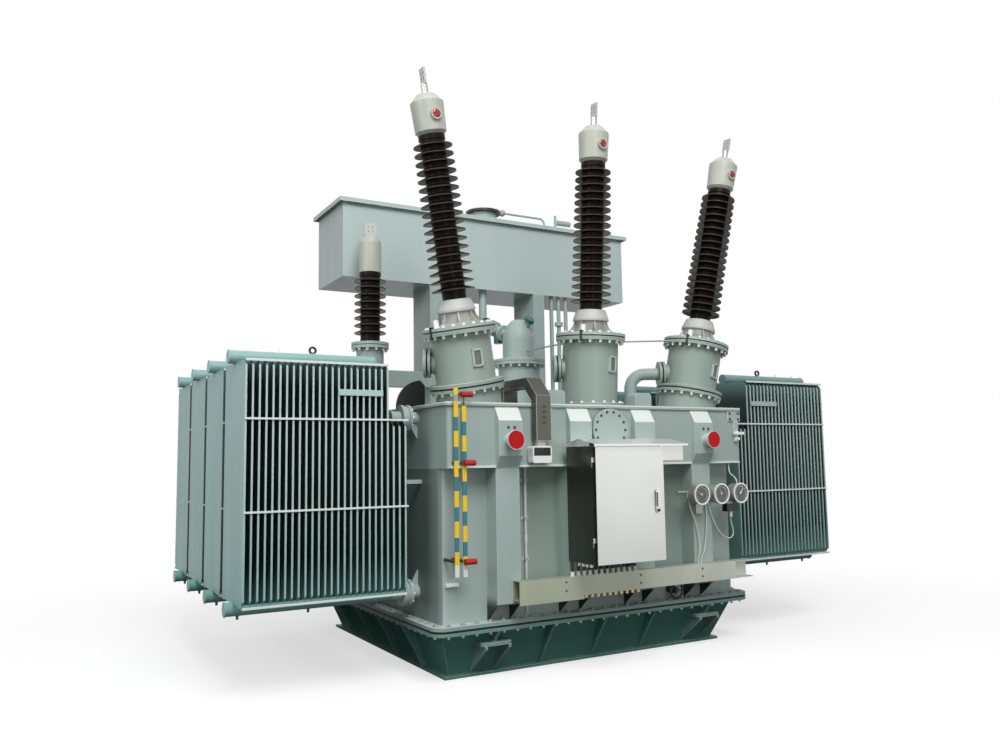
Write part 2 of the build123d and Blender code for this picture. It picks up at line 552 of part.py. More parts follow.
def make_conservator_legs():
    spread = (leg_foot - leg_width) / 2
    legs = []
    for x in leg_places:
        back = box_front_y + leg_depth
        leg = block(x - leg_width / 2, x + leg_width / 2, box_front_y, back, cover_top_z, box_bottom_z)
        legs.append(leg + block(x - leg_foot / 2, x + leg_foot / 2, box_front_y - spread, back + spread,
                                cover_top_z, cover_top_z + cover_thick))
    return legs


def make_beam():
    right = leg_places[0] - leg_width / 2
    low_z = cover_top_z + beam_rise
    return block(right - beam_length, right, box_front_y, box_front_y + beam_depth, low_z, low_z + beam_height)


def make_top_fittings():
    """Hatch with its breather pipe and a vent post on the lid; upstand boxes and a lug on the cover."""
    plate_z = lid_top_z + hatch_neck
    hatch = disc((hatch_x, hatch_y, lid_top_z), hatch_neck, hatch_neck_radius)
    hatch += disc((hatch_x, hatch_y, plate_z), hatch_thick, hatch_radius)
    pipe_z = plate_z + hatch_thick + 2 * breather_radius
    hatch += disc((hatch_x, hatch_y, plate_z + hatch_thick), 3 * breather_radius, 2 * breather_radius)
    hatch += bent_pipe([(hatch_x, hatch_y, pipe_z), (breather_end_x, hatch_y, pipe_z),
                        (breather_end_x, hatch_y, lid_top_z)], breather_bend, breather_radius)
    hatch += Pos(breather_ball_x, hatch_y, pipe_z) * Sphere(breather_ball)
    vent = disc((vent_x, vent_y, lid_top_z), vent_height, vent_radius)
    arm_z = lid_top_z + vent_arm_rise
    vent += rod((vent_x, vent_y, arm_z), (vent_x + vent_arm_length, vent_y, arm_z), 2 * vent_radius)
    pieces = [hatch, vent]
    front = upstand_setback - cover_half_y
    for x in upstand_places:
        box = block(x - upstand_width / 2, x + upstand_width / 2, front, front + upstand_depth, cover_top_z,
                    cover_top_z + upstand_height)
        pieces.append(fillet(box.edges().filter_by(Axis.Y).group_by(Axis.Z)[-1], upstand_corner))
    crest = cover_top_z + lug_height
    bulge_x = lug_left_x + (lug_right_x - lug_left_x) / 4
    bulge_z = cover_top_z + lug_bulge * lug_height
    arc = ThreePointArc((lug_left_x, lug_y, cover_top_z), (bulge_x, lug_y, bulge_z),
                        (lug_right_x - lug_corner, lug_y, crest))
    rest = Polyline((lug_right_x - lug_corner, lug_y, crest), (lug_right_x, lug_y, crest - lug_corner),
                    (lug_right_x, lug_y, cover_top_z), (lug_left_x, lug_y, cover_top_z))
    pieces.append(extrude(make_face(arc.edges() + rest.edges()), lug_thick, dir=(0, 1, 0)))
    return pieces


def flange_point(index, angle):
    """Point just inside the rim of a turret's top flange, at an angle about its axis."""
    frame = hv_place(index) * Pos(0, 0, turret_height - turret_flange_thick / 2) * Rot(0, 0, angle)
    return tuple((frame * Pos(turret_flange_radius - balance_bite, 0, 0)).position)


def make_oil_pipes(turrets, head):
    """Drop pipes, the rising pipe's two lengths, the right turret's elbow and the thin balance pipes."""
    y = box_front_y + drop_pipe_inset
    pipes = [rod((x, y, cover_top_z), (x, y, box_bottom_z), drop_pipe_radius) for x in drop_pipe_places]
    pipes[1] += disc((drop_pipe_places[1], y, box_bottom_z - drop_valve_drop), drop_valve_height,
                     drop_valve_radius)
    length = run_piece(run_stub, run_mid, run_radius)
    length += run_piece(run_stub, run_stub + run_flange_thick, run_flange_radius)
    pipes.append(length + run_piece(run_mid - run_flange_thick, run_mid, run_flange_radius))
    turn = along_run(run_end)
    pipes.append(bent_pipe([tuple(along_run(run_relay)), tuple(turn), (turn.X, turn.Y, box_bottom_z)],
                           run_bend, run_radius))
    corner = outlet_point(2, outlet_end + elbow_run)
    elbow_foot = (corner[0], corner[1], cover_top_z)
    pipes.append(bent_pipe([outlet_point(2, outlet_end), corner, elbow_foot], elbow_bend, elbow_radius))
    pipes.append(rod(flange_point(1, 0), flange_point(2, 180), balance_radius) - turrets[1] - turrets[2])
    dome_front = (dome_x, dome_y - dome_radius + balance_bite, dome_flange_z + dome_side / 2)
    pipes.append(rod(dome_front, flange_point(1, 90), balance_radius) - head - turrets[1])
    return pipes


def radiator_unit():
    """Front unit of the left bank: pressed panels between collecting headers, tied by straps."""
    back_y = bank_front_y + fin_depth

    def panel(index):
        height = short_fin_height if index >= fin_count - short_fins else fin_height
        top, c = fin_bottom_z + height, fin_chamfer
        outline = ((bank_front_y + c, fin_bottom_z), (back_y - c, fin_bottom_z), (back_y, fin_bottom_z + c),
                   (back_y, top - c), (back_y - c, top), (bank_front_y + c, top), (bank_front_y, top - c),
                   (bank_front_y, fin_bottom_z + c))
        left = bank_outer_x + index * fin_pitch
        return side_plate(outline, left, left + fin_thick)

    def header(x0, x1, z):
        tube = rod((x0, unit_middle_y, z), (x1, unit_middle_y, z), header_radius)
        return tube + rod((x0 - header_cap_thick, unit_middle_y, z), (x0, unit_middle_y, z), header_cap_radius)

    outer = bank_outer_x - header_reach
    tall_inner = bank_inner_x - short_fins * fin_pitch
    unit = header(outer, tall_inner, header_high_z) + header(outer, bank_inner_x, header_low_z)
    unit += rod((tall_inner - fin_thick, unit_middle_y, header_mid_z),
                (bank_inner_x, unit_middle_y, header_mid_z), header_radius)
    unit += [panel(index) for index in range(fin_count)]
    for rise in strap_rises:
        z = fin_bottom_z + rise
        inset = strap_bite + max(0, fin_chamfer - rise)
        for y in (bank_front_y - strap_size + inset, back_y - inset):
            unit += block(bank_outer_x, bank_inner_x + strap_reach, y, y + strap_size, z, z + strap_size)
    strip_z = fin_bottom_z + short_fin_height + strip_step
    unit += block(bank_outer_x + strip_first * fin_pitch, bank_outer_x + strip_last * fin_pitch + fin_thick,
                  bank_front_y - strip_thick, bank_front_y, strip_z, strip_z + strip_height)
    eye_x, eye_z = bank_outer_x + eye_fin * fin_pitch, header_high_z + header_radius + eye_rise
    near, far = unit_middle_y - eye_thick / 2, unit_middle_y + eye_thick / 2
    ring = rod((eye_x, near, eye_z), (eye_x, far, eye_z), eye_radius)
    return unit + (ring - rod((eye_x, near, eye_z), (eye_x, far, eye_z), eye_hole_radius))


def make_radiator_joints():
    """Pipes from the tank wall to the headers, each with a valve between two flanges, and the tie bars."""
    joints = []
    half_valve = joint_valve_thick / 2
    middle = -tank_half_x - bank_gap / 2
    for unit in range(units):
        y = unit_middle_y + unit * unit_pitch
        for z, way in ((header_low_z, 1), (header_mid_z, -1)):
            joint = rod((bank_inner_x, y, z), (-tank_half_x, y, z), header_radius)
            joint += rod((middle - half_valve, y, z), (middle + half_valve, y, z), joint_valve_radius)
            for near in (middle - half_valve - joint_flange_thick, middle + half_valve):
                joint += rod((near, y, z), (near + joint_flange_thick, y, z), joint_flange_radius)
            toe_x = -tank_half_x - joint_gusset_reach
            gusset = ((-tank_half_x, z), (-tank_half_x, z + way * joint_gusset_rise),
                      (toe_x, z + way * header_radius), (toe_x, z))
            joint += front_plate(gusset, y - joint_gusset_thick / 2, y + joint_gusset_thick / 2)
            joints.append(joint)
        tie_z = fin_bottom_z + tie_rise
        tie_y = y + tie_offset
        joints.append(block(bank_inner_x, -tank_half_x, tie_y - tie_width / 2, tie_y + tie_width / 2,
                            tie_z, tie_z + tie_height))
    return joints + [mirror(joint, about=Plane.YZ) for joint in joints]


def cabinet_span():
    """Left, right, front and back of the cabinet, which hangs on the box stiffeners."""
    back = -stiffener_front_y
    return cabinet_left_x, cabinet_left_x + cabinet_width, back - cabinet_depth, back


def hinge_axis():
    """Place of the door's hinge line, outside the left wall and in the gap behind the door."""
    left, right, front, back = cabinet_span()
    return left - hinge_offset, front - door_gap / 2


def barrel(z0):
    """Half a hinge barrel, on the hinge line."""
    x, y = hinge_axis()
    return rod((x, y, z0), (x, y, z0 + hinge_half - hinge_slack), hinge_radius)


def make_cabinet_sides():
    left, right, front, back = cabinet_span()
    low, top = cabinet_bottom_z, cabinet_bottom_z + cabinet_height
    hinged = block(left, left + cabinet_wall, front, back, low, top)
    x, y = hinge_axis()
    for rise in hinge_rises:
        z = low + rise
        hinged += block(x, left, y, front + hinge_leaf, z, z + hinge_half - hinge_slack) + barrel(z)
    return [hinged, block(right - cabinet_wall, right, front, back, low, top)]


def make_cabinet_back():
    left, right, front, back = cabinet_span()
    low, top = cabinet_bottom_z, cabinet_bottom_z + cabinet_height
    sheet = block(left + cabinet_wall, right - cabinet_wall, back - cabinet_wall, back, low, top)
    rail_z = low + rail_rise
    return sheet + block(stiffener_places[1], stiffener_places[2], back, -channel_front_y,
                         rail_z, rail_z + rail_height)


def make_cabinet_ends():
    left, right, front, back = cabinet_span()
    low, top = cabinet_bottom_z, cabinet_bottom_z + cabinet_height
    return [block(left + cabinet_wall, right - cabinet_wall, front, back - cabinet_wall, z, z + cabinet_wall)
            for z in (low, top - cabinet_wall)]


def make_side_box():
    left, right, front, back = cabinet_span()
    top = cabinet_bottom_z + cabinet_height
    return block(right, right + side_box_width, front, back, top - side_box_height, top)


def make_cabinet_roof():
    """Low gable with its ridge along the front, running on over the side box."""
    left, right, front, back = cabinet_span()
    top = cabinet_bottom_z + cabinet_height
    eave = front - door_gap - door_thick - roof_overhang
    ridge = (eave + back) / 2
    outline = ((back, top), (back, top + roof_thick), (ridge, top + roof_thick + roof_rise),
               (eave, top + roof_thick), (eave, top))
    return side_plate(outline, left - roof_overhang, right + side_box_width)


def make_door():
    """Folded sheet door with its half of each hinge barrel."""
    left, right, front, back = cabinet_span()
    floor, top = cabinet_bottom_z, cabinet_bottom_z + cabinet_height - door_gap
    outer, inner = front - door_gap - door_thick, front - door_gap
    fold = 2 * door_skin
    door = block(left, right, outer, inner, floor, top)
    door -= block(left + fold, right - fold, outer + door_skin, inner, floor + fold, top - fold)
    x, y = hinge_axis()
    for rise in hinge_rises:
        z = cabinet_bottom_z + rise + hinge_half
        leaf = block(x, left + door_skin, y - hinge_radius, inner, z, z + hinge_half - hinge_slack)
        door += leaf + barrel(z)
    return door


def make_handle():
    """Swing handle: a round-ended base with a lever and a lock below it."""
    left, right, front, back = cabinet_span()
    face = front - door_gap - door_thick
    x, z0 = right - handle_inset, cabinet_bottom_z + handle_rise
    flat = Plane(origin=(x, face, z0 + handle_height / 2), x_dir=(1, 0, 0), z_dir=(0, -1, 0))
    handle = extrude(flat * SlotOverall(handle_height, handle_width, rotation=90), handle_base)
    tip = face - handle_base
    lever_top = z0 + handle_height - handle_width / 2
    handle += block(x - lever_width / 2, x + lever_width / 2, tip - lever_thick, tip,
                    lever_top - lever_height, lever_top)
    lock_z = z0 + handle_width / 2
    return handle + rod((x, tip, lock_z), (x, tip - lock_thick, lock_z), lock_radius)


def make_trough():
    """Folded sheet trough with a cover plate that stops short of its right end."""
    back = -channel_front_y
    front = back - trough_depth
    wall = trough_wall
    tray = block(trough_left_x, trough_right_x, front + wall, back, trough_bottom_z, trough_top_z)
    tray -= block(trough_left_x, trough_right_x, front + wall, back - wall,
                  trough_bottom_z + wall, trough_top_z - wall)
    tray += block(trough_left_x, trough_cover_right_x, front, front + wall, trough_bottom_z, trough_top_z)
    return tray + block(trough_left_x, trough_lip_right_x, front, front + wall, trough_bottom_z - trough_lip,
                        trough_bottom_z)


def make_gauges():
    """Three dial gauges on one bar, which stands on a stiffener, with a terminal box under the last."""
    back = gauge_front_y + gauge_depth
    low_z, high_z = gauge_z - gauge_bar_height / 2, gauge_z + gauge_bar_height / 2
    bar = block(gauge_places[0] - gauge_radius, gauge_places[-1] + gauge_radius, back, -channel_front_y,
                low_z, high_z)
    bar += block(gauge_foot_x, gauge_foot_x + gauge_foot_width, back, -channel_front_y,
                 low_z - gauge_foot_drop, low_z)
    tube_z, tube_y = gauge_z + gauge_tube_rise, (back - channel_front_y) / 2
    bar += rod((gauge_first_x - gauge_tube_length, tube_y, tube_z), (gauge_first_x, tube_y, tube_z),
               gauge_tube_radius)
    for x in gauge_places:
        rim = gauge_front_y + bezel_thick
        bar += rod((x, back, gauge_z), (x, rim, gauge_z), gauge_radius - bezel_wall / 2)
        ring = rod((x, rim, gauge_z), (x, gauge_front_y, gauge_z), gauge_radius)
        dial_y = rim - bezel_thick / 2
        bar += ring - rod((x, dial_y, gauge_z), (x, gauge_front_y, gauge_z), gauge_radius - bezel_wall)
    x, top_z = terminal_middle()
    bar += block(x - terminal_width / 4, x + terminal_width / 4, back, -channel_front_y, top_z, low_z)
    bar += block(x - terminal_width / 2, x + terminal_width / 2, back - terminal_depth / 2,
                 back + terminal_depth / 2, top_z - terminal_height, top_z)
    gland_z = top_z - terminal_height
    return bar + rod((x, back, gland_z), (x, back, gland_z - gland_length), gland_radius)


def terminal_middle():
    """Middle and top level of the terminal box."""
    return gauge_places[-1] - gauge_radius / 2, gauge_z - terminal_drop


def lead(points):
    """Thin lead along its route, each bend as wide as its two runs allow."""
    spots = [Vector(*point) for point in points]
    radii = []
    for before, at, after in zip(spots, spots[1:], spots[2:]):
        turn = (at - before).get_angle(after - at)
        room = 0.45 * min((at - before).length, (after - at).length)
        radii.append(room / tan(radians(turn) / 2))
    path = FilletPolyline(*spots, radius=radii)
    return sweep(Plane(origin=path @ 0, z_dir=path % 0) * Circle(lead_radius), path=path)


def make_leads():
    """Leads from the gauges to the trough and the terminal box, and the conduit beside the cabinet."""
    back = gauge_front_y + gauge_depth
    under = gauge_z - gauge_bar_height / 2
    x1, x2, x3 = gauge_places
    face, rest = (back - channel_front_y) / 2, -channel_front_y - trough_depth / 2
    low = trough_top_z + lead_end
    box_x, box_z = terminal_middle()
    gland_z = box_z - terminal_height - gland_length
    ledge_y = ledge_lip - belt_half_y
    dial_top, dial_y = gauge_z + gauge_radius - bezel_wall / 2, gauge_front_y + gauge_depth / 2
    leads = [
        lead([(x1 - 50, face, under), (x1 - 50, face, under - lead_end), (x1 - 36, face - 8, under - 110),
              (x1 + 8, face - 12, under - 210), (x1 + 34, face - 12, under - 330),
              (x1 + 22, rest - 4, under - 430), (x1, rest, low), (x1, rest, trough_top_z)]),
        lead([(x2 - 92, face, under), (x2 - 92, face, under - lead_end), (x2 - 88, face - 10, under - 120),
              (x2 - 96, face - 12, under - 240), (x2 - 112, face - 12, under - 350),
              (x2 - 154, rest - 4, under - 440), (x2 - 186, rest, low), (x2 - 186, rest, trough_top_z)]),
        lead([(x2 - 62, face, under), (x2 - 62, face, under - lead_end), (x2 - 48, face - 8, under - 110),
              (x2 - 14, face - 12, under - 200), (x2 + 44, face - 14, under - 292),
              (x2 + 110, back, under - 340), (x2 + 172, back - 2, under - 348), (x2 + 206, back, under - 304),
              (box_x, back, gland_z - lead_end), (box_x, back, gland_z)]),
        lead([(x3 + 8, ledge_y, belt_bottom_z), (x3 + 8, ledge_y, belt_bottom_z - lead_end),
              (x3 - 16, face, belt_bottom_z - 90), (x3, dial_y, dial_top + lead_end), (x3, dial_y, dial_top)])]
    y = -tank_half_y - conduit_inset
    return leads + [rod((conduit_x, y, flange_top_z), (conduit_x, y, belt_bottom_z), conduit_radius)]


def make_earthing_bars():
    return [block(x - bar_width / 2, x + bar_width / 2, bar_y - bar_thick, bar_y, bar_bottom_z, top)
            for x, top in zip(bar_places, bar_tops)]


def make_insulators():
    """Posts from the wall to the bars, and moulded knobs in front of the right bar and over its top."""
    front = bar_y - bar_thick
    knob_y = front - insulator_radius
    posts = []
    for z in insulator_heights:
        wall = tank_half_y if z < belt_bottom_z else belt_half_y
        posts += [rod((x, bar_y, z), (x, -wall, z), post_radius) for x in bar_places]
        left = bar_places[1] - bar_width / 2
        posts.append(rod((left, knob_y, z), (left + insulator_length, knob_y, z), insulator_radius))
    x, top = bar_places[1], bar_tops[1]
    knob_z = top + bar_stem_height + insulator_radius
    middle_y = (front + bar_y) / 2
    stem = rod((x, middle_y, top), (x, middle_y, knob_z), bar_thick / 2)
    half = insulator_length / 2
    knob = rod((x - half / 2, middle_y, knob_z), (x + 1.5 * half, middle_y, knob_z), insulator_radius)
    return posts + [stem + knob]


def make_duct():
    """Sheet duct up the front of the belt, over the cover's edge and back beside the left turret."""
    back, front = -cover_half_y, -cover_half_y - duct_thick
    bend_z, top_z = cover_top_z + duct_bend_rise, cover_top_z + duct_top_rise
    tail = back + duct_tail
    low_z = top_z - duct_thick
    outline = ((front, duct_bottom_z), (front, bend_z), (front + duct_slant, top_z), (tail, top_z),
               (tail, cover_top_z), (tail - duct_foot, cover_top_z), (tail - duct_foot, low_z),
               (front + duct_slant + duct_thick / 2, low_z), (back, bend_z - duct_thick / 2),
               (back, duct_bottom_z))
    return side_plate(outline, duct_x - duct_width / 2, duct_x + duct_width / 2)


def make_meter():
    """Rounded case that hangs on a short neck below the duct."""
    back = -belt_half_y - ledge_lip
    middle, top = duct_x - meter_shift, duct_bottom_z - meter_drop
    half = meter_width / 2
    case = block(middle - half, middle + half, back - meter_depth, back, top - meter_height, top)
    case = fillet(case.edges().filter_by(Axis.Y), meter_corner)
    return case + block(duct_x - meter_neck / 2, duct_x + meter_neck / 2, back - meter_depth / 2, back,
                        top - meter_corner, duct_bottom_z)


neutral_porcelain, neutral_top_z = neutral_column()
turrets = [make_turret(index) for index in range(len(hv_names))]
tap_changer_head = make_tap_changer()
nodes = {
    "base_plate": make_base_plate(),
    "tray": make_tray(),
    "tray_ribs": make_tray_ribs(),
    "jacking_pads": make_jacking_pads(),
    "tank_gasket": make_gasket(),
    "tank_walls": make_tank_walls(),
    "tank_flange": make_tank_flange(),
    "tank_belt": make_tank_belt(),
    "front_stiffeners": make_stiffeners(),
    "back_stiffeners": [Rot(0, 0, 180) * one for one in make_stiffeners()],
    "tank_cover": make_cover(),
    "trunnions": make_trunnions(),
    "manhole_cover": make_manhole(),
    "neutral_neck": make_neutral_neck(),
    "neutral_porcelain": Pos(neutral_x, neutral_y, 0) * neutral_porcelain,
    "neutral_cap": make_neutral_cap(neutral_top_z),
    "tap_changer_head": tap_changer_head,
    "valves": make_valves(),
    "conservator_box": make_conservator_box(),
    "conservator_lid": make_conservator_lid(),
    "conservator_legs": make_conservator_legs(),
    "cable_beam": make_beam(),
    "top_fittings": make_top_fittings(),
    "oil_pipes": make_oil_pipes(turrets, tap_changer_head),
    "radiator_joints": make_radiator_joints(),
    "cabinet_sides": make_cabinet_sides(),
    "cabinet_back": make_cabinet_back(),
    "cabinet_ends": make_cabinet_ends(),
    "cabinet_side_box": make_side_box(),
    "cabinet_roof": make_cabinet_roof(),
    "cabinet_door": make_door(),
    "door_handle": make_handle(),
    "cable_trough": make_trough(),
    "dial_gauges": make_gauges(),
    "gauge_leads": make_leads(),
    "earthing_bars": make_earthing_bars(),
    "bar_insulators": make_insulators(),
    "cable_duct": make_duct(),
    "surge_counter": make_meter(),
}
hv_porcelain, hv_top_z = hv_column()
for index, name in enumerate(hv_names):
    nodes["hv_turret_" + name] = turrets[index]
    nodes["hv_skirt_" + name] = make_skirt(index)
    nodes["hv_porcelain_" + name] = hv_place(index) * hv_porcelain
    nodes["hv_cap_" + name] = make_cap(index, hv_top_z)

left_unit = radiator_unit()
for unit in range(units):
    moved = Pos(0, unit * unit_pitch, 0) * left_unit
    nodes["radiator_left_%d" % (unit + 1)] = moved
    nodes["radiator_right_%d" % (unit + 1)] = mirror(moved, about=Plane.YZ)

os.makedirs("parts", exist_ok=True)
for name, shape in nodes.items():
    pieces = shape if isinstance(shape, list) else [shape]
    solids = [solid for piece in pieces for solid in piece.solids()]
    export_step(Compound(solids) if len(solids) > 1 else solids[0], "parts/%s.step" % name)
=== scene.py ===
import math
import bmesh
import bpy
from mathutils import Matrix, Vector


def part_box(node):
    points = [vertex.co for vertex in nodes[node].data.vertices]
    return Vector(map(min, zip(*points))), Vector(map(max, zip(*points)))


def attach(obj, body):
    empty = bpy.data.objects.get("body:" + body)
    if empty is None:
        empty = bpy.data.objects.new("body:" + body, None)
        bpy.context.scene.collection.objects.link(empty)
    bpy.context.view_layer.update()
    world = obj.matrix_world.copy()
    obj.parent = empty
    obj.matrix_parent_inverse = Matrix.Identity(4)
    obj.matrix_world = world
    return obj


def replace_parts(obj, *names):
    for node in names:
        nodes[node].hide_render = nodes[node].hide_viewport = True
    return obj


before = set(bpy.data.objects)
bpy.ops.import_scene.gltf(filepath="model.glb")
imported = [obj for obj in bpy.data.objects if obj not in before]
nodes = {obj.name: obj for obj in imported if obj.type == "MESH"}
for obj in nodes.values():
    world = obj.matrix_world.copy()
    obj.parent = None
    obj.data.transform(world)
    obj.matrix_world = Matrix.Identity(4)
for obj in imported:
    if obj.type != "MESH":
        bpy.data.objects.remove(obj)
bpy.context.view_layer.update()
scene = bpy.context.scene
scene.view_settings.view_transform = "Standard"

# Camera: at eye level, off the transformer's left front corner. It is tipped up a little and rolled by under
# a degree, and its focal length is given in pixels of a frame 1000 wide.
sensor = 36.0
focal_pixels = 849.35
frame_pixels = 1000
camera_data = bpy.data.cameras.new("photo_camera")
camera_data.sensor_width = sensor
camera_data.lens = sensor * focal_pixels / frame_pixels
camera = bpy.data.objects.new("photo_camera", camera_data)
camera.location = (-4.043, -6.846, 1.568)
camera.rotation_euler = [math.radians(angle) for angle in (95.6945, 0.8425, -29.6041)]
scene.collection.objects.link(camera)
scene.camera = camera


# Studio: a pale seamless floor that goes over into a white surround, lit by two large soft boxes and a low
# one. The floor shows white to the camera and keeps the shadow, and throws little light up under the tank.
class Wire:
    """A node socket. Arithmetic on it adds Math nodes, and add() makes any other node of its tree."""

    def __init__(self, tree, socket=None):
        self.tree = tree
        self.socket = socket

    def plug(self, node, sockets):
        for name, value in sockets.items():
            for one in value if isinstance(value, list) else [value]:
                if isinstance(one, Wire):
                    self.tree.links.new(one.socket, node.inputs[name])
                else:
                    node.inputs[name].default_value = one

    def add(self, kind, settings, sockets, output=0):
        node = self.tree.nodes.new(kind)
        for name, setting in settings.items():
            setattr(node, name, setting)
        self.plug(node, sockets)
        return Wire(self.tree, node.outputs[output] if node.outputs else None)

    def out(self, output):
        return Wire(self.tree, self.socket.node.outputs[output])

    def maths(self, operation, *terms):
        return self.add("ShaderNodeMath", {"operation": operation}, dict(enumerate(terms)))

    def __add__(self, other):
        return self.maths("ADD", self, other)

    def __sub__(self, other):
        return self.maths("SUBTRACT", self, other)

    def __rsub__(self, other):
        return self.maths("SUBTRACT", other, self)

    def __mul__(self, other):
        return self.maths("MULTIPLY", self, other)

    def __truediv__(self, other):
        return self.maths("DIVIDE", self, other)

    def __gt__(self, other):
        return self.maths("GREATER_THAN", self, other)

    def __lt__(self, other):
        return self.maths("LESS_THAN", self, other)

    __radd__ = __add__
    __rmul__ = __mul__

    def between(self, low, high):
        return (self > low) * (self < high)

    def either(self, other):
        return self.maths("MAXIMUM", self, other)

    def nearer(self, other):
        return self.maths("MINIMUM", self, other)

    def unsigned(self):
        return self.maths("ABSOLUTE", self)

    def fraction(self):
        return self.maths("FRACT", self)

    def ramp(self, low, high):
        return self.add("ShaderNodeMapRange", {"interpolation_type": "SMOOTHSTEP"},
                        {"Value": self, "From Min": low, "From Max": high})

    def mix(self, mask, under, over):
        return self.add("ShaderNodeMix", {"data_type": "RGBA"}, {0: mask, 6: under, 7: over}, 2)

    def noise(self, scale, detail=3.0):
        return self.add("ShaderNodeTexNoise", {}, {"Vector": self, "Scale": scale, "Detail": detail})

    def bump(self, strength, distance):
        return self.add("ShaderNodeBump", {}, {"Strength": strength, "Distance": distance, "Height": self})

    def vector(self, operation, other, output=0):
        return self.add("ShaderNodeVectorMath", {"operation": operation}, {0: self, 1: other}, output)

    def length(self):
        return self.vector("LENGTH", (0, 0, 0), "Value")

    def axis(self, letter):
        return self.add("ShaderNodeSeparateXYZ", {}, {0: self}, letter)

    def facing(self, letter):
        return self.add("ShaderNodeNewGeometry", {}, {}, "Normal").axis(letter)

    def ray(self, kind):
        return self.add("ShaderNodeLightPath", {}, {}, "Is %s Ray" % kind)


def soft_box(name, place, aim, size, power):
    """Square soft box that looks at a point."""
    light = bpy.data.lights.new(name, "AREA")
    light.size = size
    light.energy = power
    lamp = bpy.data.objects.new(name, light)
    lamp.location = place
    lamp.rotation_euler = (Vector(aim) - Vector(place)).to_track_quat("-Z", "Y").to_euler()
    scene.collection.objects.link(lamp)


soft_box("front_box", place=(-3.0, -9.0, 10.5), aim=(0, 0, 1.8), size=6.0, power=1150)
soft_box("left_box", place=(-11.0, -4.0, 6.0), aim=(0, 0, 1.5), size=5.0, power=370)
soft_box("low_box", place=(-2.5, -11.0, 1.8), aim=(0, -1.5, 0.9), size=4.0, power=150)

surround = bpy.data.worlds.new("white_surround")
surround.use_nodes = True
scene.world = surround
backdrop = Wire(surround.node_tree)
seen = backdrop.ray("Camera").either(backdrop.ray("Glossy")).either(backdrop.ray("Transmission"))
sky_height = backdrop.add("ShaderNodeTexCoord", {}, {}, "Generated").axis("Z")
low_fill = 0.06
sky_fill = 0.42
fill = low_fill + sky_fill * sky_height.ramp(-0.1, 0.9)
backdrop.plug(surround.node_tree.nodes["Background"],
              {"Color": (1, 1, 1, 1), "Strength": seen + (1 - seen) * fill})

floor_reach = 60
floor_corners = [(x * floor_reach, y * floor_reach, 0) for x, y in ((-1, -1), (1, -1), (1, 1), (-1, 1))]
floor_mesh = bpy.data.meshes.new("studio_floor")
floor_mesh.from_pydata(floor_corners, [], [(0, 1, 2, 3)])
floor = bpy.data.objects.new("studio_floor", floor_mesh)
scene.collection.objects.link(floor)
floor_paint = bpy.data.materials.new("studio_floor")
floor_paint.use_nodes = True
floor_paint.node_tree.nodes.clear()
ground = Wire(floor_paint.node_tree)
distance = ground.add("ShaderNodeTexCoord", {}, {}, "Object").length()
lit = ground.add("ShaderNodeAddShader", {}, {
    0: ground.add("ShaderNodeBsdfDiffuse", {}, {"Color": (0.42, 0.42, 0.42, 1)}),
    1: ground.add("ShaderNodeEmission", {}, {"Strength": 0.62})})
white = ground.add("ShaderNodeEmission", {}, {"Strength": 1.0})
shown = ground.add("ShaderNodeMixShader", {}, {0: distance.ramp(2.5, 7.0), 1: lit, 2: white})
dim = ground.add("ShaderNodeBsdfDiffuse", {}, {"Color": (0.13, 0.135, 0.13, 1)})
shows = ground.ray("Camera").either(ground.ray("Glossy") * distance.ramp(2.5, 6.0))
either_floor = ground.add("ShaderNodeMixShader", {}, {0: shows, 1: dim, 2: shown})
ground.add("ShaderNodeOutputMaterial", {}, {0: either_floor})
floor_mesh.materials.append(floor_paint)


# Base plate and tray: the boat-shaped lower tank of welded plate, with ribs and jacking pads under its
# flange. It wears the tank's enamel painted far deeper and greener as painted shade, less so on the flange
# rim, and dusty along its foot. The pads are a paler copy, also painted shade.
def new_finish(name):
    """A material and its Object coordinates."""
    material = bpy.data.materials.new(name)
    material.use_nodes = True
    return material, Wire(material.node_tree).add("ShaderNodeTexCoord", {}, {}, "Object")


def lay(material, sockets):
    """Feed a material's Principled shader."""
    Wire(material.node_tree).plug(material.node_tree.nodes["Principled BSDF"], sockets)


def dress(material, *names):
    """Give CAD nodes their finish."""
    for name in names:
        nodes[name].material_slots[0].material = material


def edge_mask(place, width):
    """One on the outer edges of plates, where the paint takes a painted highlight."""
    rounded = place.add("ShaderNodeBevel", {"samples": 4}, {"Radius": width})
    flat = place.add("ShaderNodeNewGeometry", {}, {}, "Normal")
    return (1 - rounded.vector("DOT_PRODUCT", flat, "Value")).ramp(0.02, 0.16)


def enamel(name, colour, shade, highlight_width=0.007):
    """Sprayed machine paint: drifting tone, faint rain streaks, dust on top faces, painted edge highlights,
    orange peel.
    """
    material, place = new_finish(name)
    drift = place.noise(0.9)
    streak = place.vector("MULTIPLY", (9, 9, 0.6)).noise(1.0, 5.0)
    tone = place.mix(drift.ramp(0.35, 0.65) * 0.55 + streak.ramp(0.4, 0.7) * 0.2, colour, shade)
    dust = place.facing("Z").ramp(0.5, 1.0) * place.noise(14, 4.0) * 0.22
    tone = place.mix(dust, tone, (0.66, 0.67, 0.64, 1))
    # Painted highlight: the paint is lightened along the edges of plates.
    tone = place.mix(edge_mask(place, highlight_width) * 0.7, tone, (0.74, 0.78, 0.76, 1))
    skin = place.noise(160, 2.0).bump(0.07, 0.002)
    lay(material, {"Roughness": 0.34 + 0.14 * streak, "Normal": skin, "Specular IOR Level": 0.32})
    return material, place, tone


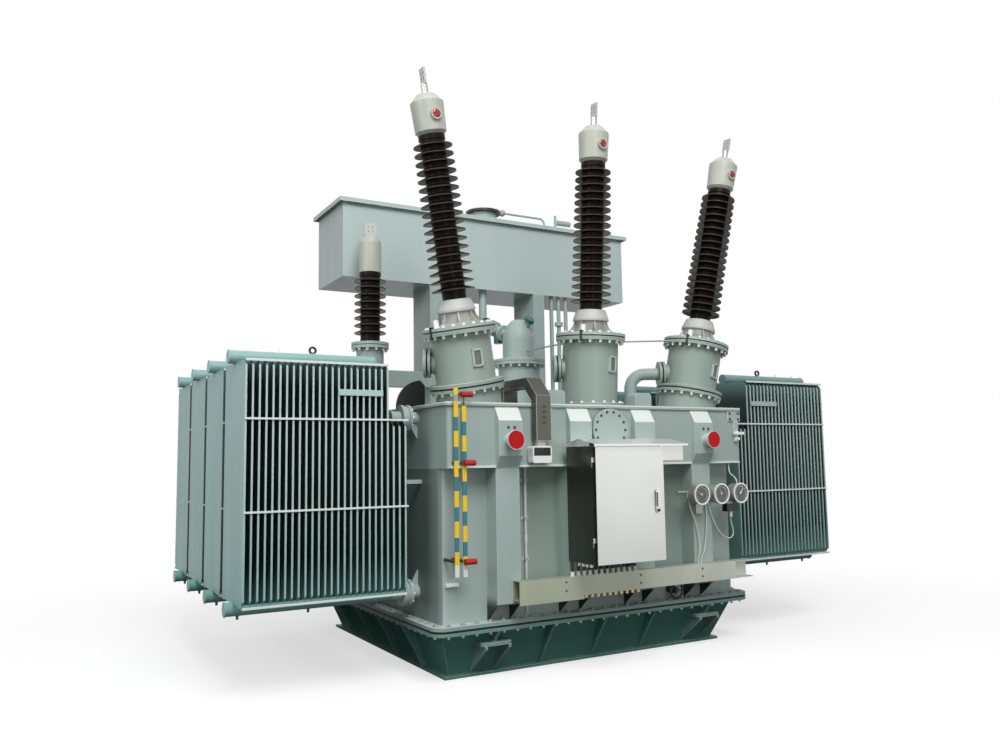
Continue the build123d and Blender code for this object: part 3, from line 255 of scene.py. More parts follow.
seal_black = (0.010, 0.012, 0.011, 1)
flange_rim_z = 0.3482
gasket_low_z = 0.3725
# Painted shade: the tank's enamel made deep green, less dark on the flange rim.
tray_paint, place, tone = enamel("tray_paint", (0.068, 0.205, 0.162, 1), (0.052, 0.165, 0.130, 1))
level = place.axis("Z")
foot_dust = (1 - level.ramp(0.02, 0.16)) * place.noise(9, 5.0) * 0.25
tone = place.mix(foot_dust, tone, (0.16, 0.18, 0.16, 1))
tone = place.mix(level > flange_rim_z, tone, (0.15, 0.26, 0.235, 1))
lay(tray_paint, {"Base Color": place.mix(level > gasket_low_z, tone, seal_black)})
dress(tray_paint, "base_plate", "tray", "tray_ribs")
# Painted shade: the pads are a darker copy of the tank's enamel.
pad_paint, place, tone = enamel("pad_paint", (0.17, 0.27, 0.24, 1), (0.13, 0.22, 0.195, 1))
lay(pad_paint, {"Base Color": tone})
dress(pad_paint, "jacking_pads")


# Gasket: a sheet of cork and rubber, cut as one frame and squeezed between the tray's flange and the bell's.
# Only its edge shows, as a black line all round.
def mottled(name, grain, tones, rough, fixed={}, stretch=None):
    """Two tones in clouds of one grain, with a roughness that follows them."""
    material, place = new_finish(name)
    if stretch:
        place = place.vector("MULTIPLY", stretch)
    cloud = place.noise(*grain)
    lay(material, {"Base Color": place.mix(cloud, *tones), "Roughness": rough[0] + rough[1] * cloud, **fixed})
    return material


gasket_rubber = mottled("gasket_rubber", (90, 4.0), ((0.012, 0.013, 0.012, 1), (0.04, 0.04, 0.037, 1)),
                        (0.7, 0.2))
dress(gasket_rubber, "tank_gasket")

# Bell tank: walls with a rolled corner, a deep belt on a ledge, box stiffeners over open-footed channels, and
# the cover. All is welded plate in satin grey-green enamel, with a painted highlight along the rims and the
# stiffeners' sloped tops, and painted shade where the wall lies in the shade of the belt, the cabinet and the
# radiators and inside the channels' open feet. The flange's enamel is painted paler as painted light, with
# painted shade on its upright faces.
tank_colour = (0.37, 0.455, 0.432, 1)
tank_shade = (0.305, 0.385, 0.360, 1)
painted_highlight = (0.78, 0.81, 0.79, 1)
tank_paint, place, tone = enamel("tank_paint", tank_colour, tank_shade)
lay(tank_paint, {"Base Color": tone})
dress(tank_paint, "manhole_cover", "neutral_neck", "tap_changer_head", "conservator_legs", "cable_beam",
      "radiator_joints", "oil_pipes")

front_wall_y = -1.3205
end_wall_x = 1.38
wall_paint, place, tone = enamel("wall_paint", tank_colour, tank_shade)
# Painted shade: the front wall darkens under the belt, and the end walls behind the radiators.
across = place.axis("X")
inward = across.ramp(-1.30, -0.85) * (1 - across.ramp(0.85, 1.30))
shade_depth = 0.25 + 0.35 * place.axis("Z").ramp(0.6, 1.4)
sheltered = (place.axis("Y") > front_wall_y) * inward * shade_depth
tone = place.mix(sheltered, tone, (0.115, 0.165, 0.125, 1))
by_radiators = (across.unsigned() > end_wall_x) * 0.6
lay(wall_paint, {"Base Color": place.mix(by_radiators, tone, (0.050, 0.080, 0.070, 1))})
dress(wall_paint, "tank_walls")

ledge_y = 1.4705
cover_face_z = 1.978
plate_paint, place, tone = enamel("plate_paint", (0.335, 0.415, 0.390, 1), (0.275, 0.350, 0.325, 1))
level = place.axis("Z")
upright = 1 - place.facing("Z").ramp(0.3, 0.6)
cover_face = (level > cover_face_z) * (1 - upright) * 0.6
tone = place.mix(cover_face, tone, (0.150, 0.215, 0.198, 1))
# Painted highlights: pale lines along the ledge's rim and the cover's rim.
ledge_highlight = level.between(1.511, 1.527) * (place.axis("Y").unsigned() > ledge_y)
cover_rim_highlight = level.between(1.972, 1.983) * upright
lay(plate_paint, {"Base Color": place.mix(ledge_highlight.either(cover_rim_highlight) * 0.8, tone, painted_highlight)})
dress(plate_paint, "tank_belt", "tank_cover")

gasket_high_z = 0.3875
flange_paint, place, tone = enamel("flange_paint", (0.47, 0.545, 0.520, 1), (0.40, 0.475, 0.450, 1))
# Painted light and shade: a paler top than the tank's enamel, and darker upright faces.
upright = 1 - place.facing("Z").ramp(0.3, 0.6)
tone = place.mix(upright * 0.8, tone, (0.17, 0.275, 0.25, 1))
lay(flange_paint, {"Base Color": place.mix(place.axis("Z") < gasket_high_z, tone, seal_black)})
dress(flange_paint, "tank_flange")

channel_y = 1.4655
stiffener_paint, place, tone = enamel("stiffener_paint", tank_colour, tank_shade)
level = place.axis("Z")
# Painted shade inside the channels' open feet.
channel_shade = (place.axis("Y").unsigned() < channel_y) * (1 - level.ramp(0.50, 0.62))
tone = place.mix(channel_shade, tone, (0.012, 0.020, 0.017, 1))
# Painted highlight on the stiffeners' sloped tops.
slope_highlight = level.between(1.80, 1.957) * place.facing("Z").ramp(0.15, 0.4)
lay(stiffener_paint, {"Base Color": place.mix(slope_highlight * 0.75, tone, painted_highlight)})
dress(stiffener_paint, "front_stiffeners", "back_stiffeners")


# Flange bolts: hexagon bolts through both flanges every hundred millimetres, painted heads above and
# galvanised bolt ends below. The same fastener, in other sizes, closes every other flange on the transformer.
def new_tree(name, sockets, result):
    """An empty node tree, its named inputs as wires, and their identifiers."""
    tree = bpy.data.node_groups.new(name, "GeometryNodeTree")
    identifiers = {}
    for label, kind in sockets.items():
        made = tree.interface.new_socket(label, in_out="INPUT", socket_type="NodeSocket" + kind)
        identifiers[label] = made.identifier
    tree.interface.new_socket(result, in_out="OUTPUT", socket_type="NodeSocketGeometry")
    outputs = tree.nodes.new("NodeGroupInput").outputs
    return Wire(tree), {label: Wire(tree, outputs[label]) for label in sockets}, identifiers


def repeat_along(wire, given, shape, turned):
    """End a tree: the shape at Count points of each line, turned with the line or not, in its finish."""
    line = wire.add("GeometryNodeMeshToCurve", {}, {0: given["Line"]})
    dots = wire.add("GeometryNodeCurveToPoints", {"mode": "COUNT"},
                    {"Curve": line, "Count": given["Count"]}, "Points")
    placing = {"Points": dots, "Instance": shape}
    if turned:
        placing["Rotation"] = dots.out("Rotation")
    spread = wire.add("GeometryNodeInstanceOnPoints", {}, placing)
    solid = wire.add("GeometryNodeRealizeInstances", {}, {0: spread})
    finished = wire.add("GeometryNodeSetMaterial", {}, {"Geometry": solid, "Material": given["Finish"]})
    wire.add("NodeGroupOutput", {}, {0: finished})


def run_tree(name, wire, inputs, lines, closed, sizes, turn):
    """Mesh that a node tree makes along lines, turned into place."""
    points = []
    edges = []
    for run in lines:
        first = len(points)
        points += [tuple(point) for point in run]
        edges += [(at, at + 1) for at in range(first, len(points) - 1)]
        if closed:
            edges.append((len(points) - 1, first))
    mesh = bpy.data.meshes.new(name)
    mesh.from_pydata(points, edges, [])
    maker = bpy.data.objects.new(name, mesh)
    scene.collection.objects.link(maker)
    modifier = maker.modifiers.new(name, "NODES")
    modifier.node_group = wire.tree
    for label, value in sizes.items():
        modifier[inputs[label]] = value
    made = bpy.data.meshes.new_from_object(maker.evaluated_get(bpy.context.evaluated_depsgraph_get()))
    bpy.data.objects.remove(maker)
    made.transform(turn)
    return made


def keep(name, mesh):
    """Place a finished mesh as a piece that rides on the transformer."""
    piece = bpy.data.objects.new(name, mesh)
    scene.collection.objects.link(piece)
    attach(piece, "transformer")
    return piece


def stud_line(name, lines, finish, count, radius, height, turn=Matrix(), closed=False, sides=6,
              collar=1.5):
    """Studs along open or closed lines, standing up in the lines' own frame."""
    sizes = {"Count": count, "Sides": sides, "Radius": radius, "Height": height, "Collar": collar,
             "Finish": finish}
    keep(name, run_tree(name, studs, stud_inputs, lines, closed, sizes, turn))


def ring(radius, z=0.0, x=0.0, y=0.0, steps=48):
    """Points of a level circle."""
    turns = [2 * math.pi * step / steps for step in range(steps)]
    return [(x + radius * math.cos(turn), y + radius * math.sin(turn), z) for turn in turns]


studs, given, stud_inputs = new_tree("studs_on_a_line", {
    "Line": "Geometry", "Count": "Int", "Sides": "Int", "Radius": "Float", "Height": "Float",
    "Collar": "Float", "Finish": "Material"}, "Studs")
head = studs.add("GeometryNodeMeshCylinder", {}, {
    "Vertices": given["Sides"], "Radius": given["Radius"], "Depth": given["Height"]}, "Mesh")
lift = studs.add("ShaderNodeCombineXYZ", {}, {"Z": given["Height"] * 0.5})
head = studs.add("GeometryNodeTransform", {}, {"Geometry": head, "Translation": lift})
washer = studs.add("GeometryNodeMeshCylinder", {}, {
    "Vertices": 12, "Radius": given["Radius"] * given["Collar"], "Depth": given["Height"] * 0.36}, "Mesh")
both = studs.add("GeometryNodeJoinGeometry", {}, {0: [head, washer]})
repeat_along(studs, given, both, turned=False)

galvanised = mottled("galvanised_bolts", (70, 4.0), ((0.68, 0.70, 0.69, 1), (0.92, 0.93, 0.91, 1)),
                     (0.38, 0.2), {"Metallic": 0.2})
dark_bolt = mottled("oiled_bolts", (60, 4.0), ((0.045, 0.055, 0.05, 1), (0.12, 0.13, 0.12, 1)),
                    (0.42, 0.2), {"Metallic": 0.5})
painted_bolt, place = new_finish("painted_bolts")
bloom = place.noise(60, 4.0)
rubbed = place.mix(bloom.ramp(0.3, 0.7), (0.16, 0.20, 0.185, 1), (0.42, 0.48, 0.46, 1))
lay(painted_bolt, {"Base Color": rubbed, "Roughness": 0.36 + 0.2 * bloom})

flange_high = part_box("tank_flange")[1]
flange_under = 0.348
bend = 0.06
bolt_from_end = 0.043
bolt_from_front = 0.046
straight_x = flange_high[0] - bolt_from_end - bend
straight_y = flange_high[1] - bolt_from_front - bend
flange_line = []
for x, y, first in ((1, 1, 0), (-1, 1, 90), (-1, -1, 180), (1, -1, 270)):
    for turn in range(first, first + 91, 15):
        flange_line.append((x * straight_x + bend * math.cos(math.radians(turn)),
                            y * straight_y + bend * math.sin(math.radians(turn))))
upside = Matrix.Rotation(math.pi, 4, "X")
stud_line("flange_bolt_heads", [[(x, y, flange_high[2]) for x, y in flange_line]], painted_bolt,
          count=100, radius=0.015, height=0.014, closed=True)
stud_line("flange_bolt_ends", [[(x, -y, -flange_under) for x, y in flange_line]], galvanised,
          count=100, radius=0.0105, height=0.024, turn=upside, closed=True)

# Manhole bolts and plugs: small oiled bolts round the manhole's cover, and two screwed plugs in each end
# stiffener above its lifting disc. They face the front, so their lines are laid flat and turned up.
facing_front = Matrix.Rotation(math.pi / 2, 4, "X")
manhole_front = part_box("manhole_cover")[0][1]
plug_z = 1.800
plug_gap = 0.026
plug_face = 1.532
stud_line("manhole_bolts", [ring(0.141, -manhole_front, -0.020, 1.786)], dark_bolt,
          count=14, radius=0.0075, height=0.009, turn=facing_front, closed=True)
plug_pairs = [[(x - plug_gap, plug_z, plug_face), (x + plug_gap, plug_z, plug_face)] for x in (-0.924, 0.952)]
stud_line("stiffener_plugs", plug_pairs, dark_bolt,
          count=2, radius=0.0085, height=0.008, turn=facing_front, sides=12, collar=1.4)

# Lifting discs: short tubes welded to the end stiffeners, each closed by a round plate that keeps a
# sling on. The plate is painted signal red inside a pale rim, and the red has faded in clouds.
disc_z = 1.708
disc_face_y = -1.6175
red_radius = 0.0665
trunnion_red, place = new_finish("trunnion_red")
from_left, from_right = [place.vector("SUBTRACT", (x, 0, disc_z)).vector("MULTIPLY", (1, 0, 1)).length()
                         for x in (-0.935, 0.960)]
fade = place.noise(18, 4.0)
red = place.mix(fade, (0.52, 0.010, 0.010, 1), (0.40, 0.008, 0.008, 1))
on_face = (place.axis("Y") < disc_face_y) * (from_left.nearer(from_right) < red_radius)
lay(trunnion_red, {"Base Color": place.mix(on_face, (0.50, 0.60, 0.60, 1), red),
                   "Roughness": 0.32 + 0.2 * fade, "Specular IOR Level": 0.2})
dress(trunnion_red, "trunnions")

# Radiators: pressed steel panels welded into round headers, hung on the tank by valved pipes at both ends.
# Their paint is bluer than the tank's, with painted shade between panels, between units, towards the bottom
# and over the right bank, a painted highlight on front edges, and pale straps.
# Each unit has a black lifting eye, vent pins, drain plugs and thin rails along its panels' ends.
sides = (-1, 1)
unit_front = -1.227
unit_pitch = 0.671
unit_middles = [-0.927 + unit_pitch * unit for unit in range(4)]
panel_ends = (1.6195, 2.7525)
edge_depth = (0.002, 0.006)
strap_from = 0.655
lifting_eye_z = 2.345
radiator_paint, place, tone = enamel("radiator_paint", (0.250, 0.435, 0.415, 1), (0.210, 0.380, 0.358, 1),
                                     highlight_width=0.0025)
across = place.axis("X")
level = place.axis("Z")
# Painted shade: darker and greener towards the bottom.
tone = place.mix((1 - level.ramp(0.5, 2.1)) * 0.40, tone, (0.125, 0.320, 0.285, 1))
# Painted shade darkens the whole right bank.
tone = place.mix((across > 0) * 0.40, tone, (0.085, 0.160, 0.148, 1))
bay = (place.axis("Y") - unit_front) / unit_pitch
in_unit = bay.fraction() * unit_pitch
# Painted shade: near black deep in the gaps between panels.
gap_shade = in_unit.ramp(0.001, 0.016) * (1 - in_unit.ramp(0.560, 0.592))
gap_shade = gap_shade * across.unsigned().between(*panel_ends)
gap_shade = gap_shade * level.ramp(0.60, 0.95) * (1 - level.ramp(2.05, 2.32))
tone = place.mix(gap_shade * 0.92, tone, (0.008, 0.014, 0.012, 1))
# Painted highlight: pale panel front edges, stronger higher up.
edge_highlight = (1 - in_unit.ramp(*edge_depth)) * level.between(0.63, 2.26)
tone = place.mix(edge_highlight * (0.12 + 0.28 * level.ramp(0.8, 1.7)), tone, (0.72, 0.77, 0.75, 1))
strap = in_unit > strap_from
tone = place.mix(strap * (0.75 - 0.45 * level.between(1.95, 2.20)), tone, (0.80, 0.82, 0.80, 1))
# Painted shade: near black in the narrow gap between units.
unit_gap_shade = (bay > 0.5) * (in_unit < 0.012)
tone = place.mix(unit_gap_shade * 0.85, tone, (0.012, 0.020, 0.018, 1))
tone = place.mix(level > lifting_eye_z, tone, (0.012, 0.013, 0.012, 1))
lay(radiator_paint, {"Base Color": tone})
for side in ("left", "right"):
    dress(radiator_paint, *["radiator_%s_%d" % (side, unit) for unit in (1, 2, 3, 4)])

drain_z = 0.558
vent_z = 2.339
plug_rows = [[(side * x, -y, -drain_z) for x in (2.716, 2.17, 1.75)] for side in sides for y in unit_middles]
stud_line("drain_plugs", plug_rows, dark_bolt,
          count=3, radius=0.009, height=0.026, turn=upside, sides=10)
pin_rows = [[(side * x, y, vent_z) for x in (2.69, 2.46)] for side in sides for y in unit_middles]
stud_line("vent_pins", pin_rows, galvanised, count=2, radius=0.007, height=0.024, sides=10)


def keep_shape(name, shape, finish, turn=Matrix(), smooth=False):
    """Place a bmesh as a piece in its finish."""
    mesh = bpy.data.meshes.new(name)
    shape.to_mesh(mesh)
    shape.free()
    mesh.materials.append(finish)
    mesh.transform(turn)
    if smooth:
        mesh.shade_smooth()
    return keep(name, mesh)


def boxes(name, sizes, finish, turn=Matrix(), rounding=0.003):
    """Blocks given by their low and high corners, with rounded edges, as one piece."""
    shape = bmesh.new()
    for low, high in sizes:
        middle = [(a + b) / 2 for a, b in zip(low, high)]
        scale = Matrix.Diagonal([b - a for a, b in zip(low, high)] + [1])
        bmesh.ops.create_cube(shape, size=1, matrix=Matrix.Translation(middle) @ scale)
    if rounding:
        bmesh.ops.bevel(shape, geom=shape.edges[:], offset=rounding, segments=2, affect="EDGES")
    keep_shape(name, shape, finish, turn)


rail_end = 2.754
rail_bars = ((1.752, 0.2985, 0.3045, 2.240, 2.2575), (1.752, 0.245, 0.304, 2.2515, 2.2575),
             (1.617, 0.2985, 0.3045, 0.635, 0.6515), (1.617, 0.245, 0.304, 0.635, 0.6415))
rails = []
for side in sides:
    for middle in unit_middles:
        for toward in (-1, 1):
            for inner, near, far, low, high in rail_bars:
                left, right = sorted((side * inner, side * rail_end))
                front, back = sorted((middle + toward * near, middle + toward * far))
                rails.append(((left, front, low), (right, back, high)))
boxes("panel_edge_rails", rails, radiator_paint, rounding=0.0015)
facing_right = Matrix.Rotation(math.pi / 2, 4, "Y")
joint_middle = 1.5095
flange_half = 0.037
joint_rings = [ring(0.080, side * joint_middle + flange_half, -z, y, 24)
               for side in sides for y in unit_middles for z in (0.603, 1.892)]
stud_line("joint_bolts", joint_rings, galvanised,
          count=8, radius=0.010, height=0.014, turn=facing_right, closed=True)

# High-voltage turrets: rolled pipes bolted to the cover that carry the bushings, leaning out on the outer
# phases. Flange pairs close on a black rubber seal. Each turret has a blanked side outlet, and a bare framed
# plate in front.
turret_y = -1.150
turret_z = 2.130
forward_lean = Matrix.Rotation(math.radians(4), 4, "X")
hv_frames = {}
for name, x, lean in (("left", -1.085, -10.5), ("middle", 0.052, 0.0), ("right", 1.125, 10.5)):
    outward_lean = Matrix.Rotation(math.radians(lean), 4, "Y")
    hv_frames[name] = Matrix.Translation((x, turret_y, turret_z)) @ forward_lean @ outward_lean


def along_axis(place, name):
    """Height above a bushing's pivot and distance from its leaning axis, over a surface."""
    foot = hv_frames[name].translation
    direction = hv_frames[name].to_3x3() @ Vector((0, 0, 1))
    offset = place.vector("SUBTRACT", foot)
    rise = offset.vector("DOT_PRODUCT", direction, "Value")
    return rise, offset.vector("CROSS_PRODUCT", direction).length()


def framed_plate(name, width, height, depth, turn):
    """Bare plate in a raised rounded frame, lying in the frame's XY plane and looking along +Z."""
    x = width / 2
    y = height / 2
    bar = 0.007
    boxes(name, [((-x - bar, y - bar, 0), (x + bar, y + bar, depth)),
                 ((-x - bar, -y - bar, 0), (x + bar, -y + bar, depth)),
                 ((x - bar, -y - bar, 0), (x + bar, y + bar, depth)),
                 ((-x - bar, -y - bar, 0), (-x + bar, y + bar, depth))], tank_paint, turn)
    boxes(name + "_sheet", [((-x, -y, 0), (x, y, depth / 2))], bare_plate, turn, rounding=0)


rubber_black = (0.010, 0.011, 0.010, 1)
outlet_turn = math.radians(28)
outlet_out = Vector((-math.cos(outlet_turn), math.sin(outlet_turn), 0))
outlet_rise = 0.176
outlet_span = (0.03, 0.32)
outlet_seal = (0.268, 0.281)
outlet_neck = (0.240, 0.249)
joint_seal = (-0.003, 0.010)
pipe_radius = 0.26
for name, at in hv_frames.items():
    turret_paint, place, tone = enamel("turret_paint_" + name, (0.305, 0.380, 0.338, 1),
                                       (0.250, 0.318, 0.280, 1))
    rise, away = along_axis(place, name)
    from_outlet = place.vector("SUBTRACT", at @ Vector((0, 0, outlet_rise)))
    out = from_outlet.vector("DOT_PRODUCT", outlet_out, "Value")
    dark = out.between(*outlet_seal).either(out.between(*outlet_neck)) * rise.between(*outlet_span)
    if name != "middle":
        dark = dark.either(rise.between(*joint_seal) * (away > pipe_radius))
    lay(turret_paint, {"Base Color": place.mix(dark, tone, rubber_black)})
    dress(turret_paint, "hv_turret_" + name)
    stud_line("turret_top_bolts_" + name, [ring(0.262, -0.398)], galvanised,
              count=20, radius=0.0115, height=0.024, turn=at @ upside, closed=True)
    if name != "middle":
        stud_line("turret_joint_bolts_" + name, [ring(0.266, 0.026)], galvanised,
                  count=20, radius=0.0115, height=0.022, turn=at @ upside, closed=True)
    else:
        stud_line("turret_foot_bolts", [ring(0.262, 2.008, 0.052, turret_y)], galvanised,
                  count=18, radius=0.011, height=0.016, closed=True)
    stud_line("skirt_bolts_" + name, [ring(0.247, 0.457)], galvanised,
              count=20, radius=0.012, height=0.015, turn=at, closed=True)

bare_plate = mottled("bare_plate", (3, 4.0), ((0.10, 0.12, 0.11, 1), (0.20, 0.22, 0.20, 1)), (0.30, 0.15),
                     {"Metallic": 0.7}, stretch=(60, 60, 4))
on_pipe = Matrix.Translation((0, -0.222, 0.205)) @ facing_front
for name, turn in (("left", 0), ("middle", 15), ("right", 14)):
    around = Matrix.Rotation(math.radians(turn), 4, "Z")
    framed_plate("turret_plate_" + name, width=0.070, height=0.118, depth=0.020,
                 turn=hv_frames[name] @ around @ on_pipe)

# Corner fitting at the belt's right end: a bolted plate and a bar below it, with a bright lever on its pivot.
# A galvanised earth stud is welded to the wall at the tank's lower left.
boxes("corner_plate", [((1.255, -1.482, 1.866), (1.400, -1.468, 1.952)),
                       ((1.318, -1.486, 1.690), (1.372, -1.468, 1.868))], tank_paint)
plate_bolts = [[(x, z, 1.482) for x in (1.280, 1.375)] for z in (1.935, 1.885)]
stud_line("corner_plate_bolts", plate_bolts, dark_bolt,
          count=2, radius=0.008, height=0.008, turn=facing_front)
boxes("corner_lever", [((1.300, -1.512, 1.752), (1.415, -1.488, 1.776))], galvanised)
stud_line("corner_lever_pivot", [[(1.345, 1.764, 1.484), (1.345, 1.716, 1.484)]], galvanised,
          count=2, radius=0.013, height=0.030, turn=facing_front, sides=14)
boxes("earth_stud", [((-1.370, -1.352, 0.676), (-1.270, -1.318, 0.700))], galvanised)

# Bonding straps and test caps: a black sheathed strap is bolted across each turret's top joint, below a
# bright screwed cap on the casting's foot that covers the test tap.
black_strap = mottled("black_strap", (120, 3.0), ((0.010, 0.010, 0.010, 1), (0.026, 0.026, 0.025, 1)),
                      (0.5, 0.2))
for name, turn in (("left", -164), ("middle", -141), ("right", -148)):
    around = hv_frames[name] @ Matrix.Rotation(math.radians(turn), 4, "Z")
    boxes("bonding_strap_" + name, [((0.262, -0.011, 0.380), (0.288, 0.011, 0.470)),
                                    ((0.236, -0.011, 0.458), (0.288, 0.011, 0.470))],
          black_strap, around, rounding=0.002)
    stud_line("test_cap_" + name, [[(0.222, 0, 0.457), (0.222, 0.0001, 0.457)]], galvanised,
              count=1, radius=0.021, height=0.062, turn=around, sides=18, collar=1.35)

# Bushing skirts: pale sand castings with eight ribs, bolted through a painted flange onto the turret's seal.
# The bare casting is stained in patches, and its neck under the porcelain is a cleaner grey.
seal_top = 0.4350
flange_top = 0.458
neck_from = (0.552, 0.566)
for name in hv_frames:
    cast, place = new_finish("cast_skirt_" + name)
    rise = along_axis(place, name)[0]
    sand = place.noise(75, 5.0)
    stain = place.noise(5, 4.0)
    metal = place.mix(stain.ramp(0.35, 0.7), (0.40, 0.405, 0.375, 1), (0.26, 0.258, 0.228, 1))
    tone = place.mix(rise.ramp(*neck_from), metal, (0.465, 0.478, 0.458, 1))
    tone = place.mix(rise < flange_top, tone, tank_colour)
    tone = place.mix(rise < seal_top, tone, rubber_black)
    lay(cast, {"Base Color": tone, "Roughness": 0.42 + 0.2 * sand, "Normal": sand.bump(0.16, 0.003)})
    dress(cast, "hv_skirt_" + name)


# Porcelain: brown-glazed shedded columns, thrown and fired in one piece. The glaze is nearly black brown,
# with a painted highlight of paler brown on each shed's edge. The neutral's is the short upright column.
def bushing_node(part, name):
    """Name of a CAD node of one of the four bushings."""
    return "neutral_" + part if name == "neutral" else "hv_%s_%s" % (part, name)


bushings = (*hv_frames, "neutral")
column_taper = 0.01667
neutral_x = -1.288
neutral_y = 0.350
for name in bushings:
    glaze, place = new_finish("porcelain_" + name)
    if name == "neutral":
        level = place.vector("SUBTRACT", (neutral_x, neutral_y, 0)).vector("MULTIPLY", (1, 1, 0))
        edge = level.length().ramp(0.136, 0.143)
    else:
        rise, away = along_axis(place, name)
        edge = (away + rise * column_taper).ramp(0.1715, 0.1795)
    cloud = place.noise(22, 4.0)
    brown = place.mix(cloud, (0.007, 0.0055, 0.0045, 1), (0.013, 0.009, 0.007, 1))
    # Painted highlight: the shed rims are lightened to a paler brown.
    lay(glaze, {"Base Color": place.mix(edge * 0.8, brown, (0.085, 0.055, 0.038, 1)),
                "Roughness": 0.28 + 0.14 * cloud, "Specular IOR Level": 0.09})
    dress(glaze, bushing_node("porcelain", name))

# Bushing caps: spun pots in off-white enamel, streaked by rain, with a bare tinned terminal plate on a stem.
# Each high-voltage cap has a round red sight glass in front, domed a little.
bare_stem_z = 3.6145
bare_stem_rise = 2.190
for name in bushings:
    pot, place = new_finish("bushing_cap_" + name)
    if name == "neutral":
        bare = place.axis("Z") > bare_stem_z
    else:
        bare = along_axis(place, name)[0] > bare_stem_rise
    grime = place.vector("MULTIPLY", (12, 12, 2)).noise(1.0, 5.0)
    off_white = place.mix(grime.ramp(0.4, 0.8) * 0.5, (0.46, 0.475, 0.415, 1), (0.35, 0.36, 0.305, 1))
    lay(pot, {"Base Color": place.mix(bare, off_white, (0.46, 0.47, 0.46, 1)), "Metallic": bare * 0.9,
              "Roughness": 0.30 + 0.16 * grime})
    dress(pot, bushing_node("cap", name))
sight_glass, place = new_finish("sight_glass")
swirl = place.noise(34, 3.0)
oil_red = place.mix(swirl.ramp(0.42, 0.56), (0.20, 0.005, 0.004, 1), (0.40, 0.016, 0.010, 1))
lay(sight_glass, {"Base Color": oil_red, "Roughness": 0.10 + 0.05 * swirl, "Coat Weight": 0.25})
flat_dome = Matrix.Translation((0, -0.136, 2.018)) @ Matrix.Diagonal((1, 0.30, 1, 1))
for name, at in hv_frames.items():
    lens = bmesh.new()
    bmesh.ops.create_uvsphere(lens, u_segments=28, v_segments=16, radius=0.033, matrix=flat_dome)
    keep_shape("sight_glass_" + name, lens, sight_glass, at, smooth=True)

# Tap-changer head and relay: a flanged casting on the cover with a pipe rising to the conservator. The relay
# and the valves are painted teal, chipped to a darker coat. The drain valve in front has a black wheel.
drain_valve_z = 1.0
valve_paint, place = new_finish("valve_paint")
chip = place.noise(30, 5.0)
teal = place.mix(chip.ramp(0.3, 0.8), (0.020, 0.165, 0.20, 1), (0.012, 0.09, 0.115, 1))
lay(valve_paint, {"Base Color": place.mix(place.axis("Z") < drain_valve_z, teal, (0.014, 0.015, 0.014, 1)),
                  "Roughness": 0.28 + 0.2 * chip})
dress(valve_paint, "valves")
stud_line("tap_changer_bolts", [ring(0.226, -2.447, 0.068, 0.0)], galvanised,
          count=18, radius=0.011, height=0.022, turn=upside, closed=True)
stud_line("neutral_flange_bolts", [ring(0.150, -2.579, neutral_x, -neutral_y)], galvanised,
          count=12, radius=0.011, height=0.022, turn=upside, closed=True)

# Conservator: the oil expansion tank, a welded box under a flat lid on two legs. It stands clear of the rest
# in full light, in a bluer coat of the tank's enamel that is painted lighter as painted light.
conservator_paint, place, tone = enamel("conservator_paint", (0.465, 0.560, 0.548, 1),
                                        (0.415, 0.505, 0.490, 1))
lay(conservator_paint, {"Base Color": tone})
dress(conservator_paint, "conservator_box", "conservator_lid")

# Fittings on the lid and the cover: a hatch with a dark bolted cover plate, its breather pipe, a vent post,
# upstands and a lug, all in the tank's enamel. A flap on the cover at the left is painted near black as a
# painted shadow.
hatch_plate_z = (4.131, 4.158)
fitting_paint, place, tone = enamel("fitting_paint", tank_colour, tank_shade)
hatch_plate = place.axis("Z").between(*hatch_plate_z) * (place.axis("X") < 0.34)
# Painted shadow: the flap at the cover's left is painted near black.
flap_shadow = (place.axis("X") < -1.10) * (place.axis("Z") < 2.25)
lay(fitting_paint, {"Base Color": place.mix(hatch_plate.either(flap_shadow), tone, (0.030, 0.034, 0.033, 1))})
dress(fitting_paint, "top_fittings")
stud_line("hatch_bolts", [ring(0.164, 4.156, 0.140, 0.800)], galvanised,
          count=12, radius=0.011, height=0.018, closed=True)

# Control cabinet: folded stainless sheet with a low gable roof, a louvred side box, and a door on two barrel
# hinges with a lever handle. The sheet is brushed up and down. Its colour carries painted reflection: bright
# on the roof, duller towards the foot, and near black on the door's left return. The sides are a
# painted-shade copy of the steel, and the handle's left faces are painted dark as painted shade.
roof_z = 1.653
door_back_y = -1.868
brushed = (420, 420, 6)
cabinet_steel, place = new_finish("cabinet_steel")
brush = place.vector("MULTIPLY", brushed).noise(1.0, 3.0)
cloud = place.noise(2.5, 3.0)
level = place.axis("Z")
steel = place.mix(cloud.ramp(0.3, 0.7), (0.82, 0.83, 0.81, 1), (0.76, 0.77, 0.745, 1))
# Painted reflection: duller towards the foot and bright on the roof.
steel = place.mix((1 - level.ramp(0.7, 1.7)) * 0.6, steel, (0.52, 0.54, 0.50, 1))
steel = place.mix((level > roof_z) * 0.7, steel, (0.92, 0.92, 0.90, 1))
# Painted reflection: the door's left return is painted near black.
door_return_shade = (place.facing("X") < -0.5) * (place.axis("Y") < door_back_y)
steel = place.mix(door_return_shade, steel, (0.030, 0.034, 0.028, 1))
lay(cabinet_steel, {"Base Color": steel, "Metallic": 0.85, "Roughness": 0.26 + 0.12 * brush,
                    "Normal": brush.bump(0.03, 0.001)})
dress(cabinet_steel, "cabinet_back", "cabinet_ends", "cabinet_side_box", "cabinet_roof", "cabinet_door")
